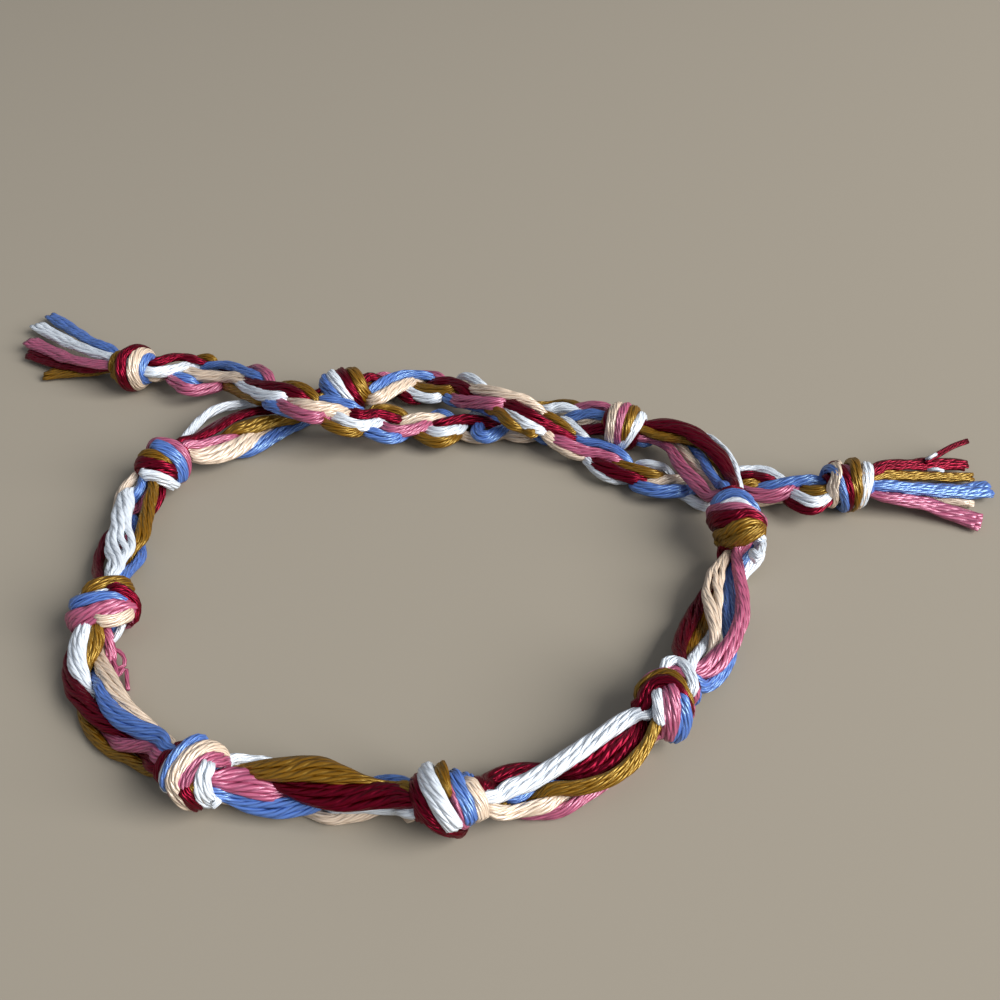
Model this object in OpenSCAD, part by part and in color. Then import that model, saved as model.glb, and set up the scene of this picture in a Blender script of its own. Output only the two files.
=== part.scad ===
// Knotted bracelet of six cotton strands, laid down as a closed loop.
// Eight overhand knots gather the strands, which run loose from knot to knot. Past the first
// and the last knot they are braided into two ties that cross, each with an end knot and a tassel.
// Millimetres, with X to the right, Y away from the viewer and Z up from the surface it lies on.

/* [Thread] */
// Diameter of one strand of stranded cotton between two knots
strand_d = 1.1; // [0.9:0.05:1.15]
// Diameter of a strand where a knot squeezes it
pinched_d = 0.8; // [0.7:0.02:0.84]
// Radius of the ring in which the six strands leave a knot
leave_r = 1; // [1:0.01:1.05]

/* [Knots] */
// Wraps that show along a knot
wraps = 5; // [3:1:6]
// Depth of the grooves between the wraps, as a share of the knot's radius
groove = 0.14; // [0:0.02:0.2]
// Radius of the flat face that the strands leave, as a share of the knot's radius
face_share = 0.66; // [0.6:0.02:0.76]
// Clear gap between a knot and the strands that leave it
joint_gap = 0.12; // [0.1:0.01:0.2]

/* [Ties] */
// Width of a braided tie
braid_w = 3.8; // [3.7:0.05:3.9]
// Thickness of a braided tie
braid_t = 2.3; // [2.3:0.02:2.36]
// Width of one of the three braided pairs of strands
pair_w = 1.15; // [1:0.05:1.15]
// Thickness of one of the three braided pairs of strands
pair_t = 0.96; // [0.8:0.04:0.96]
// Length in which a pair comes back to its side of the braid
braid_pitch = 10; // [9:0.5:12]

/* [Tassels] */
// Diameter of the bundle where it leaves an end knot
neck_d = 3.5; // [3.2:0.1:3.6]
// Length of that bundle before it spreads
neck_l = 1.4; // [1.2:0.1:1.6]
// How far a lock keeps the bundle's way before it turns to its tip, as a share of its length
lock_bend = 0.2; // [0.1:0.05:0.4]
// Thickness of a lock of cut thread at its tip
lock_t = 0.9; // [0.8:0.05:1]

/* [Hidden] */

// The tables are laid out round the middle of the loop. The origin is the middle of the whole
// box, on the surface, this far to the right of the loop's middle and behind it.
origin_x = 2.34;
origin_y = 8.12;

// Colours of the thread
WHITE = "#f4f5f8";
PEACH = "#f3dccb";
BURGUNDY = "#6d0f2a";
GOLD = "#c08a2c";
BLUE = "#8fb0e6";
PINK = "#d97fa6";

// Columns of the knots' table. The heading is the way along the bracelet, in degrees from X.
// The base is the knot's lowest point, and the slant tilts its wraps across that heading.
KNOT_X = 0;
KNOT_Y = 1;
HEADING = 2;
LENGTH = 3;
WIDTH = 4;
HEIGHT = 5;
BASE = 6;
SLANT = 7;
KNOT_COLOUR = 8;
KNOTS = [
  [-10.8, 25.9, 212, 4.6, 5.4, 5.0, 0, 20, BLUE],
  [-27.5, 13.5, 237, 4.8, 5.4, 5.2, 0, 25, PINK],
  [-28.4, -6.1, 270, 5.0, 6.2, 4.8, 0, 12, BURGUNDY],
  [-17.2, -23.1, 336, 4.4, 6.0, 5.4, 0, 18, PEACH],
  [2.4, -25.7, 4, 5.4, 5.6, 5.4, 0, 30, WHITE],
  [19.4, -16.3, 60, 5.4, 6.2, 5.4, 0, 15, BURGUNDY],
  [28.1, 4.5, 94, 6.2, 5.6, 5.2, 1, 20, GOLD],
  [18.7, 19.6, 150, 4.0, 5.2, 5.0, 0, 15, WHITE]
];
END_KNOT_LEFT = [-35.3, 30.5, 170, 4.2, 6.0, 5.2, 0, 8, PEACH];
END_KNOT_RIGHT = [40, 10.1, 12, 4.6, 5.4, 5.2, 0, 12, GOLD];

// Columns of the strands' tables, a row for each strand between one knot and the next.
// A seat is its place in the ring of six that leave the knot: 0 is outward from the loop's
// middle, and 1 to 5 go round by way of the top. Out and high place it halfway, from the
// middle line of the section and from the surface.
STRAND_COLOUR = 0;
SEAT = 1;
OUT = 2;
HIGH = 3;
SECTIONS = [
  [
    [WHITE, 0, 4.6, 1.7],
    [BURGUNDY, 1, 2.3, 2.3],
    [GOLD, 2, 0.4, 2.2],
    [PEACH, 3, -2.3, 1.8],
    [BLUE, 4, -1.8, 0.6],
    [PINK, 5, 1.0, 0.7]
  ],
  [
    [PEACH, 0, 1.6, 2.0],
    [WHITE, 1, 0.4, 2.9],
    [GOLD, 2, -2.1, 2.5],
    [BLUE, 3, -1.6, 1.2],
    [PINK, 4, -0.1, 0.7],
    [BURGUNDY, 5, 1.9, 0.6]
  ],
  [
    [BURGUNDY, 0, 1.8, 1.8],
    [WHITE, 1, 1.0, 2.8],
    [BLUE, 2, -0.2, 2.0],
    [PEACH, 3, -1.6, 1.8],
    [PINK, 4, -1.5, 0.6],
    [GOLD, 5, 1.3, 0.6]
  ],
  [
    [BLUE, 0, 0.0, 1.8],
    [BURGUNDY, 1, -1.4, 2.6],
    [GOLD, 2, -3.2, 2.8],
    [WHITE, 3, -2.6, 1.4],
    [PINK, 4, -1.1, 1.0],
    [PEACH, 5, 0.0, 0.56]
  ],
  [
    [PEACH, 0, 1.2, 1.6],
    [GOLD, 1, -0.1, 2.1],
    [WHITE, 2, -2.1, 3.1],
    [BURGUNDY, 3, -2.3, 1.8],
    [BLUE, 4, -1.0, 0.8],
    [PINK, 5, 0.5, 0.6]
  ],
  [
    [BLUE, 0, 1.6, 1.1],
    [PINK, 1, 1.4, 2.4],
    [PEACH, 2, -1.3, 2.9],
    [BURGUNDY, 3, -3.0, 1.6],
    [GOLD, 4, -1.9, 0.8],
    [WHITE, 5, -0.4, 0.6]
  ],
  [
    [WHITE, 0, 3.7, 3.0],
    [BURGUNDY, 1, 2.3, 4.2],
    [BLUE, 2, 0.8, 4.1],
    [PINK, 3, -2.5, 3.3],
    [PEACH, 4, -0.8, 2.9],
    [GOLD, 5, 1.1, 3.0]
  ]
];

// Points on the middle lines of the two ties, between their knots: place, and how far the tie's
// pairs swing there as a share of its width. The ties are looser near their end knots.
SWING = 3;
LEFT_ROUTE = [
  [12.6, 23.3, 1.3, 1], [9, 22.8, 1.2, 1], [5.3, 21.7, 1.2, 1], [1.2, 21, 1.3, 1],
  [-2.6, 20.7, 1.6, 1], [-5.8, 20.3, 2.3, 1], [-8.8, 20.1, 3.4, 1], [-11.8, 20.4, 4.3, 1],
  [-15, 22.1, 4.7, 1], [-18.7, 24.6, 4.1, 1], [-22.5, 27.7, 2.5, 1.15], [-26.5, 30, 1.4, 1.25]
];
RIGHT_ROUTE = [
  [-4.6, 28.5, 1.5, 1], [-0.7, 28.1, 1.5, 1], [3, 26.2, 2.6, 1], [5, 24.1, 3.5, 1],
  [7, 22, 3.7, 1], [9.2, 20.1, 3.4, 1], [11.8, 18.1, 2.1, 1], [14.8, 15.9, 1.3, 1],
  [18.2, 13.6, 1.2, 1], [21.6, 11.9, 1.2, 1], [25, 11.1, 1.18, 1], [28.5, 11, 1.18, 1.1],
  [32, 10.6, 1.3, 1.25]
];

// Columns of the tassels' tables, a row for each lock from its left, looking back at the knot:
// colour, tip and width at the tip
LOCK_COLOUR = 0;
TIP_X = 1;
TIP_Y = 2;
TIP_W = 3;
LEFT_LOCKS = [
  [GOLD, -45.6, 31.2, 2.2],
  [PEACH, -47.6, 33.4, 1.4],
  [BURGUNDY, -49.2, 35.4, 1.8],
  [PINK, -50, 38, 2.8],
  [WHITE, -49.8, 41.2, 2.6],
  [BLUE, -48, 43.8, 2.6]
];
RIGHT_LOCKS = [
  [BURGUNDY, 55, 19, 0.8],
  [BURGUNDY, 53.8, 15.6, 1.6],
  [GOLD, 54, 13.6, 1.4],
  [BLUE, 55.2, 11.4, 2.2],
  [PEACH, 53.2, 9.2, 1.2],
  [PINK, 53.4, 6.6, 2]
];

// Further gap between a tie and a knot, and length of the tie's straight stretch there
tie_gap = 0.25;
square_l = 1.6;

// Steps round and along the swept solids. A tie's pairs cross at every 60 degrees of their
// swing, and a ring at every 30 degrees meets each crossing.
KNOT_SIDES = 10;
STRAND_SIDES = 6;
STRAND_STEPS = 7;
SWING_STEP = 30;
ROUTE_STEPS = 6;
LOCK_STEPS = 3;

function ahead(heading) = [cos(heading), sin(heading), 0];
function outward(heading) = [sin(heading), -cos(heading), 0];
function mix(a, b, share) = a + (b - a) * share;
function knot_middle(k) = [k[KNOT_X], k[KNOT_Y], k[BASE] + k[HEIGHT] / 2];
function knot_face(k, way) = knot_middle(k) + way * ahead(k[HEADING]) * (k[LENGTH] / 2 + joint_gap);

// A closed skin over rings of points, in triangles, with a fan over each end
function ring_faces(rings, sides) = [
  for (j = [0 : rings - 2])
    for (i = [0 : sides - 1])
      let (a = j * sides + i, b = j * sides + (i + 1) % sides)
        for (f = [[a, b, a + sides], [b, b + sides, a + sides]]) f
];
function end_faces(rings, sides) = [
  for (i = [1 : sides - 2])
    let (last = (rings - 1) * sides)
      for (f = [[0, i + 1, i], [last, last + i, last + i + 1]]) f
];
module skin(rings) {
  sides = len(rings[0]);
  polyhedron(
    points = [for (ring = rings) each ring],
    faces = concat(ring_faces(len(rings), sides), end_faces(len(rings), sides))
  );
}

// An oval ring of points about a middle, in the upright plane across a level direction
function oval(middle, side, width, thickness, sides) = [
  for (i = [0 : sides - 1])
    let (turn = 360 * (i + 0.5) / sides)
      middle + side * width / 2 * cos(turn) + [0, 0, thickness / 2 * sin(turn)]
];

// A knot is a barrel of slanted rings: its ends, then a crest for each wrap with grooves between
function knot_radius(share, crest) =
  sqrt(1 - (1 - face_share * face_share) * share * share) * (crest ? 1 : 1 - groove);
function knot_ring(k, j, count) =
  let (
    share = 2 * j / (count - 1) - 1,
    is_end = j == 0 || j == count - 1,
    radius = knot_radius(share, is_end || j % 2 == 1),
    lean = tan(k[SLANT]) * (1 - share * share)
  )
    [for (i = [0 : KNOT_SIDES - 1])
      let (
        turn = 360 * (i + 0.5) / KNOT_SIDES,
        across = k[WIDTH] / 2 * radius * cos(turn),
        up = k[HEIGHT] / 2 * radius * sin(turn),
        along = k[LENGTH] / 2 * share + lean * across * 0.5
      )
        knot_middle(k) + ahead(k[HEADING]) * along + outward(k[HEADING]) * across + [0, 0, up]];
module knot(k) {
  count = 2 * wraps + 1;
  color(k[KNOT_COLOUR]) skin([for (j = [0 : count - 1]) knot_ring(k, j, count)]);
}

// The middle line of a section leaves one knot and meets the next along their headings
function run(a, b, t) =
  let (
    start = knot_face(a, 1),
    end = knot_face(b, -1),
    pull = norm(end - start)
  )
    (2 * t * t * t - 3 * t * t + 1) * start + (t * t * t - 2 * t * t + t) * pull * ahead(a[HEADING])
    + (3 * t * t - 2 * t * t * t) * end + (t * t * t - t * t) * pull * ahead(b[HEADING]);
function run_side(a, b, t) =
  let (
    near = 0.001,
    way = run(a, b, min(1, t + near)) - run(a, b, max(0, t - near)),
    level = norm([way[0], way[1]])
  )
    [way[1] / level, -way[0] / level, 0];
function strand_middle(a, b, row, t) =
  let (
    spread = sin(180 * t),
    line = run(a, b, t),
    out = mix(leave_r * cos(60 * row[SEAT]), row[OUT], spread),
    high = mix(line[2] + leave_r * sin(60 * row[SEAT]), row[HIGH], spread)
  )
    [line[0], line[1], high] + out * run_side(a, b, t);
module strands(number) {
  a = KNOTS[number - 1];
  b = KNOTS[number];
  for (row = SECTIONS[number - 1]) {
    color(row[STRAND_COLOUR])
      skin([
        for (j = [0 : STRAND_STEPS])
          let (t = j / STRAND_STEPS, d = mix(pinched_d, strand_d, sin(180 * t)))
            oval(strand_middle(a, b, row, t), run_side(a, b, t), d, d, STRAND_SIDES)
      ]);
  }
}

// A tie leaves one knot and meets the other square to their faces
function tie(a, way, route, b) =
  let (
    leave = way * ahead(a[HEADING]),
    reach = -ahead(b[HEADING]),
    start = knot_face(a, way) + leave * tie_gap,
    end = knot_face(b, -1) + reach * tie_gap
  )
    concat(
      [concat(start, 1), concat(start + leave * square_l, 1)],
      route,
      [concat(end + reach * square_l, 1), concat(end, 1)]
    );

// A smooth line through the points of a route, and the distance along it at each of its points
function curve(p0, p1, p2, p3, t) =
  0.5 * (2 * p1 + (p2 - p0) * t + (2 * p0 - 5 * p1 + 4 * p2 - p3) * t * t
  + (3 * p1 - p0 - 3 * p2 + p3) * t * t * t);
function smooth(route) =
  let (
    last = len(route) - 1,
    points = concat([2 * route[0] - route[1]], route, [2 * route[last] - route[last - 1]])
  )
    concat(
      [for (i = [0 : last - 1])
        for (j = [0 : ROUTE_STEPS - 1])
          curve(points[i], points[i + 1], points[i + 2], points[i + 3], j / ROUTE_STEPS)],
      [route[last]]
    );
function place_of(row) = [row[0], row[1], row[2]];
function distances(line, i = 1, done = [0]) =
  i == len(line) ? done
    : distances(line, i + 1, concat(done, [done[i - 1] + norm(place_of(line[i] - line[i - 1]))]));
function along(line, gone, s) = [
  for (column = [0 : 3]) lookup(s, [for (i = [0 : len(line) - 1]) [gone[i], line[i][column]]])
];

// Three pairs of strands swing from side to side of a tie and over and under each other
module braid(route) {
  line = smooth(route);
  gone = distances(line);
  total = gone[len(gone) - 1];
  steps = round(total / braid_pitch * 360 / SWING_STEP);
  for (pair = [0 : 2]) {
    color([BURGUNDY, PEACH, BLUE][pair])
      skin([
        for (j = [0 : steps])
          let (
            s = total * j / steps,
            here = along(line, gone, s),
            way = along(line, gone, min(total, s + 0.4)) - along(line, gone, max(0, s - 0.4)),
            side = [way[1], -way[0], 0] / norm([way[0], way[1]]),
            phase = SWING_STEP * j + 120 * pair,
            swing = (braid_w - pair_w) / 2 * here[SWING] * sin(phase),
            lift = (braid_t - pair_t) / 2 * sin(2 * phase)
          )
            oval(place_of(here) + side * swing + [0, 0, lift], side, pair_w, pair_t, STRAND_SIDES)
      ]);
  }
}

// A tassel's locks spread from a short neck at the end knot and come down onto the surface
function lock_middle(root, way, tip, t) =
  let (bend = root + way * norm(tip - root) * lock_bend)
    (1 - t) * (1 - t) * root + 2 * t * (1 - t) * [bend[0], bend[1], tip[2]] + t * t * tip;
module lock(root, way, row) {
  tip = [row[TIP_X], row[TIP_Y], lock_t / 2];
  line = tip - root;
  side = [line[1], -line[0], 0] / norm([line[0], line[1]]);
  color(row[LOCK_COLOUR])
    skin([
      for (j = [0 : LOCK_STEPS])
        let (t = j / LOCK_STEPS)
          oval(lock_middle(root, way, tip, t), side, mix(pinched_d, row[TIP_W], t), lock_t, STRAND_SIDES)
    ]);
}
module tassel(k, locks) {
  face = knot_face(k, 1);
  way = ahead(k[HEADING]);
  color(BURGUNDY)
    translate(face) rotate([0, 90, k[HEADING]]) cylinder(h = neck_l, d = neck_d, $fn = 16);
  last = len(locks) - 1;
  for (i = [0 : last])
    lock(
      face + way * neck_l / 2 + outward(k[HEADING]) * (2 * i / last - 1) * (neck_d - pinched_d) / 2,
      way, locks[i]
    );
}

module place() {
  translate([-origin_x, -origin_y, 0]) children();
}
module knot_1() { place() knot(KNOTS[0]); }
module knot_2() { place() knot(KNOTS[1]); }
module knot_3() { place() knot(KNOTS[2]); }
module knot_4() { place() knot(KNOTS[3]); }
module knot_5() { place() knot(KNOTS[4]); }
module knot_6() { place() knot(KNOTS[5]); }
module knot_7() { place() knot(KNOTS[6]); }
module knot_8() { place() knot(KNOTS[7]); }
module strands_1() { place() strands(1); }
module strands_2() { place() strands(2); }
module strands_3() { place() strands(3); }
module strands_4() { place() strands(4); }
module strands_5() { place() strands(5); }
module strands_6() { place() strands(6); }
module strands_7() { place() strands(7); }
module braid_left() { place() braid(tie(KNOTS[7], 1, LEFT_ROUTE, END_KNOT_LEFT)); }
module braid_right() { place() braid(tie(KNOTS[0], -1, RIGHT_ROUTE, END_KNOT_RIGHT)); }
module end_knot_left() { place() knot(END_KNOT_LEFT); }
module end_knot_right() { place() knot(END_KNOT_RIGHT); }
module tassel_left() { place() tassel(END_KNOT_LEFT, LEFT_LOCKS); }
module tassel_right() { place() tassel(END_KNOT_RIGHT, RIGHT_LOCKS); }

knot_1();
knot_2();
knot_3();
knot_4();
knot_5();
knot_6();
knot_7();
knot_8();
strands_1();
strands_2();
strands_3();
strands_4();
strands_5();
strands_6();
strands_7();
braid_left();
braid_right();
end_knot_left();
end_knot_right();
tassel_left();
tassel_right();
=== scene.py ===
"""Looks of a knotted bracelet of stranded cotton, laid as a closed loop on a pale floor.

Every strand is eight plies, and every ply is a tube. Strands run loose between the knots, wrap
round the knots as bands, cross over each other in the two braided ties and fan out in the two
tassels. Lengths are in millimetres, round the middle of the loop, as in the part's source, and
turns are in degrees. Where a strand, a band or a lock runs was read off the photograph, so
those tables give places in a picture of 1000 by 1000, across and down, and seen() turns them into
places over the floor.
"""
import itertools
import math

import bpy
import numpy as np
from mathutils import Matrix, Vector


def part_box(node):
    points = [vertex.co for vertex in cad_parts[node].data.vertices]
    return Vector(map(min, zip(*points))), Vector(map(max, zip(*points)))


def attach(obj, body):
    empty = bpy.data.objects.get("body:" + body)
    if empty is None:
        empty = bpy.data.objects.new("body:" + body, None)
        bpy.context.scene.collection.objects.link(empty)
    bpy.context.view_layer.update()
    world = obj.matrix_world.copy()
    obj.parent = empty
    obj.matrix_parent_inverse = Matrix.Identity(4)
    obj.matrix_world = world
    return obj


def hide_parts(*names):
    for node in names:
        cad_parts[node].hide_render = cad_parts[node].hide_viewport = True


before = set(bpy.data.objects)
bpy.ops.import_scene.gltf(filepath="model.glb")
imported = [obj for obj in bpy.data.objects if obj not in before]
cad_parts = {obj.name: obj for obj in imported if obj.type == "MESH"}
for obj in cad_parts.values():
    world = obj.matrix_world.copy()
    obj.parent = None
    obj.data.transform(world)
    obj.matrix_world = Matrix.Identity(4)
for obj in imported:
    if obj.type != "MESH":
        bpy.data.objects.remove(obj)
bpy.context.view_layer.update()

MM = 0.001
SEED = 11

# From the origin of the tables below to the frame's
ORIGIN = np.array([2.34, 8.12, 0.0])
UP = np.array([0.0, 0.0, 1.0])

# The camera: its place from that origin, how far down it looks, its focal length as a share of the
# picture's width, its sensor's width, and how near it sees. Then the picture's side.
EYE = np.array([6.0, -72.0, 72.0])
PITCH_DOWN = 41
FOCAL_SHARE = 1.1
SENSOR = 36.0
CLIP_START = 5
PICTURE = 1000

# Plies: how many make a strand, how thick they are, by themselves too, the sides of their tubes and
# the step between rings. A ply is wide by a multiple of its thickness, or by a share of its
# strand's width where that is more.
PLIES = 8
PLY_D = 0.4
LOOSE_PLY_D = 0.38
PLY_SIDES = 6
PLY_STEP = 0.5
PLY_WIDE = 1.2
PLY_SHARE = 0.36
# How far a ply drifts off its course, the lengths of its drifts, and the most that its pattern is
# shifted along it
PLY_WANDER = 0.05
DRIFT_LENGTHS = (3.1, 5.3, 9.7)
PATTERN_SHIFT = 900
# Strands: thickness, the length in which their plies go round once, how far in radians the plies on
# top lie off those below, and how sharply the plies divide at a parting
STRAND_T = 1.0
TWIST_LENGTH = 30.0
STAGGER = 0.4
PARTING_EDGE = 0.15

# Points from one place of a table to the next, and on a band
CURVE_POINTS = 8
BAND_POINTS = 10

# Knots: an end's radius as a share of the largest, and how far past its ends a knot's surface is
# reckoned, as a share. Strands leave a small gap past a knot's face, from seats in a ring: its
# radius, and the turn from seat to seat.
FACE_SHARE = 0.66
BARREL_PAST = 1.25
JOINT_GAP = 0.12
LEAVE_R = 0.82
SEAT_TURN = 60
# How deep a strand is tucked into a knot, and how much of its way off the knot's middle it keeps
TUCK = 1.3
TUCK_SHARE = 0.4
# Strands inside a knot: how far inside its faces they end, and their width
CORE_INSET = 0.9
CORE_W = 1.0
# Points tried along the camera's line of sight
SIGHT_STEPS = 400

# Bands round a knot: their thickness, their plies' thickness, and the turn from point to point
WRAP_T = 0.78
WRAP_PLY_D = 0.36
WRAP_STEP = 5
# A band's ends: the turn in which they dive and how near the knot's middle, as a share, the least
# that both go on together, the points that give their slant, its most in mm a degree, and the turn
# in which it fades
WRAP_DIVE = 60
WRAP_DEPTH = 0.45
GO_ON_LEAST = 120
SLANT_POINTS = 3
SLANT_MOST = 0.04
SLANT_FADE = 40
# Bands that lie under the ones that show, all the way round: lift, gap, how far inside the knot's
# ends they stay, width, turn, and colours in order
UNDER_LIFT = -0.6
UNDER_GAP = 0.95
UNDER_INSET = 0.5
UNDER_W = 1.1
UNDER_TURN = 400
UNDER_COLOURS = ["burgundy", "white", "pink", "gold", "blue", "burgundy", "peach"]
# Short strands on a knot: how deep their ends sink, how far they go on first, as a share of the last
# stretch, and how wide their ends are, as a share
BIT_SINK = 1.2
BIT_GO_ON = 0.15
BIT_TAPER = 0.6

# Loose strands between knots: points on each, the least gap between their middle lines, their width
# at a knot, and how far the faces of the outer ones lean out
SECTION_POINTS = 61
SECTION_GAP = 1.0
TIGHT_W = 1.05
SIDE_LEAN = 0.28
# How they settle: rounds, in how many parts an overlap is made up, the pull back to their places,
# and how much they are smoothed
SETTLE_ROUNDS = 90
PUSH_PARTS = 3
PULL_BACK = 0.04
SMOOTHING = 0.25

# Strands of the ties: thickness, the step between rings, an under strand's width as a share, how far
# their faces lean out, and the lift at which they start to widen and over which they do
TIE_STRAND_T = 0.95
TIE_STEP = 0.4
TIE_NARROW = 0.62
TIE_TILT = 0.35
RIDE_LOW = -0.5
RIDE_SPAN = 0.9

# Locks of the tassels: width where they start, thickness, the most that a ply is cut short, how far
# in radians it is turned, and how far it drifts
LOCK_NECK_W = 1.25
LOCK_T = 0.85
LOCK_UNEVEN = 1.0
LOCK_TURN = 0.2
LOCK_WANDER = 0.07

# The twist in a ply: its pitch, how many ridges go round, half a ridge, the part of that half in
# which a groove rises, how deep it is, and how far the shade painted into its grooves is evened out
TWIST_PITCH = 1.3
RIDGES = 4.0
HALF_RIDGE = 0.5
GROOVE_RISE = 0.35
GROOVE_DEPTH = 0.055
EVENED = 0.4
# Fine fibres and slow changes of tone, along and round a ply
FIBRE_SCALE = (1.6, 14.0, 1.0)
FIBRE_DETAIL = 3.0
TONE_SCALE = (0.16, 0.0, 1.0)
# Brightness at its least, what tone and fibres add, and what fibres add to the ridges' height
TONE_LEAST = 0.75
TONE_RANGE = 0.5
FIBRE_TONE = 0.35
FIBRE_HEIGHT = 0.4
# How rough the thread is at its least, what fibres add, and how strongly it glints
ROUGH_LEAST = 0.27
ROUGH_RANGE = 0.2
GLINT_IOR = 2.1
GLINT_LEVEL = 0.65

# Half the floor's side, and its colour
FLOOR_HALF = 1500
FLOOR_COLOUR = (0.34, 0.305, 0.25)

# Square soft lights that face the loop: name, place, side, power and colour
LIGHTS = [
    ("key", (856, -364, 640), 850, 22.0, (1.0, 0.98, 0.95)),
    ("fill", (-320, -200, 400), 400, 0.15, (0.9, 0.95, 1.0)),
]
WORLD_COLOUR = (0.86, 0.91, 1.0)
WORLD_STRENGTH = 0.27

# Colours of the thread: its own, a darker one painted into its grooves as shade, and the tint of its
# glints
FLOSS = {
    "white": ((0.66, 0.72, 0.79), (0.56, 0.62, 0.71), (1.0, 1.0, 1.0)),
    "peach": ((0.66, 0.53, 0.41), (0.46, 0.33, 0.23), (1.0, 0.95, 0.9)),
    "burgundy": ((0.028, 0.0001, 0.0011), (0.004, 0.0001, 0.0003), (0.9, 0.035, 0.12)),
    "gold": ((0.14, 0.056, 0.0005), (0.03, 0.009, 0.0003), (1.0, 0.72, 0.2)),
    "blue": ((0.07, 0.155, 0.49), (0.025, 0.05, 0.22), (0.6, 0.88, 1.0)),
    "pink": ((0.38, 0.078, 0.155), (0.13, 0.018, 0.05), (1.0, 0.62, 0.78)),
}
COLOURS = list(FLOSS)

# Knots by node: heading, length, width and height, as in the part's source
KNOTS = {
    "knot_1": (212, 4.6, 5.4, 5.0),
    "knot_2": (237, 4.8, 5.4, 5.2),
    "knot_3": (270, 5.0, 6.2, 4.8),
    "knot_4": (336, 4.4, 6.0, 5.4),
    "knot_5": (4, 5.4, 5.6, 5.4),
    "knot_6": (60, 5.4, 6.2, 5.4),
    "knot_7": (94, 6.2, 5.6, 5.2),
    "knot_8": (150, 4.0, 5.2, 5.0),
    "end_knot_left": (170, 4.2, 6.0, 5.2),
    "end_knot_right": (12, 4.6, 5.4, 5.2),
}

# Bands that show on each knot: colour, width, lift, how far they go round it, and places
WRAPS = {
    "knot_1": [
        ("burgundy", 1.3, 0.1, 400, (338, 367), (346, 381), (354, 395), (362, 407)),
        ("gold", 1.6, 0.15, 400, (352, 368), (360, 382), (366, 395), (370, 403)),
    ],
    "knot_2": [
        ("gold", 1.2, 0.05, 160, (140, 453), (149, 452), (158, 455), (166, 460)),
        ("pink", 0.9, 0.05, 400, (166, 439), (178, 444), (187, 455), (190, 466), (189, 475)),
        ("burgundy", 1.75, 0.05, 250, (138, 463), (149, 464), (160, 466), (172, 471)),
    ],
    "knot_3": [
        ("gold", 1.7, 0.05, 150, (92, 583), (110, 578.5), (130, 582)),
        ("white", 0.6, -0.05, 150, (94, 591), (108, 588), (122, 590)),
        ("blue", 1.25, 0.1, 200, (72, 602), (86, 597), (102, 595), (116, 597), (128, 603)),
        ("pink", 1.9, 0.15, 400, (64, 627), (82, 616), (104, 610), (128, 609)),
    ],
    "knot_4": [
        ("blue", 0.75, 0.05, 210, (200, 734), (188, 739), (179, 747), (171, 758), (166, 768),
         (162, 780)),
        ("peach", 1.3, 0.1, 400, (216, 744), (203, 745), (190, 752), (181, 761), (174, 771),
         (171, 782), (174, 794)),
        ("pink", 1.3, 0.1, 300, (217, 756), (206, 758), (197, 764), (189, 772), (183, 781),
         (181, 791), (185, 800)),
        ("gold", 0.7, 0.0, 200, (193, 782), (195, 793), (200, 803)),
    ],
    "knot_5": [
        ("burgundy", 1.3, 0.0, 400, (415, 774), (417, 790), (422, 806), (430, 821), (443, 833)),
        ("pink", 0.6, -0.05, 200, (450, 786), (456, 803), (461, 820)),
    ],
    "knot_6": [
        ("pink", 0.7, -0.05, 200, (664, 668), (676, 666), (686, 674)),
        ("gold", 1.15, 0.05, 200, (646, 678), (656, 672), (668, 671), (679, 679), (686, 690)),
        ("burgundy", 1.5, 0.15, 220, (643, 700), (646, 690), (653, 682), (663, 680), (674, 685),
         (681, 694)),
    ],
    "knot_7": [
        ("blue", 1.3, 0.05, 180, (713, 501), (722, 493), (732, 490.5), (742, 493), (751, 501)),
        ("white", 0.7, 0.0, 120, (723, 502), (735, 498), (746, 501)),
        ("pink", 0.9, 0.05, 300, (708, 510), (728, 504.5), (752, 508)),
        ("burgundy", 1.7, 0.1, 300, (708, 524), (730, 517), (746, 513), (757, 517)),
        ("gold", 1.6, 0.2, 300, (713, 543), (733, 534), (750, 528), (761, 530)),
    ],
    "knot_8": [
        ("burgundy", 1.2, -0.3, 300, (606, 424), (608, 436), (614, 444)),
        ("peach", 1.2, 0.1, 300, (618, 402), (613, 411), (610, 424)),
        ("pink", 1.0, 0.1, 300, (626, 404), (620, 418), (617, 433)),
        ("gold", 1.1, 0.15, 300, (637, 404), (630, 415), (625, 430)),
        ("white", 1.1, 0.25, 200, (646, 410), (638, 423), (629, 436), (621, 446)),
        ("burgundy", 1.0, 0.0, 300, (644, 424), (636, 439), (627, 450)),
    ],
    "end_knot_left": [
        ("gold", 0.7, -0.35, 400, (119, 355), (113, 369), (115, 382)),
        ("burgundy", 1.2, 0.1, 400, (131, 347), (122, 354), (119, 367), (121, 380), (128, 390)),
        ("peach", 1.3, 0.1, 400, (142, 349), (134, 357), (131, 370), (134, 382), (141, 389)),
        ("blue", 1.0, 0.0, 400, (156, 356), (148, 359), (144, 369), (147, 380), (153, 386)),
    ],
    "end_knot_right": [
        ("peach", 1.3, 0.15, 300, (838, 474), (833, 489), (829, 503)),
        ("blue", 0.9, 0.1, 400, (832, 466), (841, 478), (845, 493), (847, 508)),
        ("burgundy", 0.9, 0.05, 400, (839, 464), (847, 476), (851, 490), (852, 504)),
        ("gold", 1.1, 0.1, 400, (855, 460), (858, 480), (858, 503)),
        ("white", 1.3, 0.1, 300, (868, 463), (869, 472), (868, 480)),
        ("peach", 1.1, 0.05, 200, (868, 487), (866, 495), (863, 502)),
    ],
}

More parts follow.
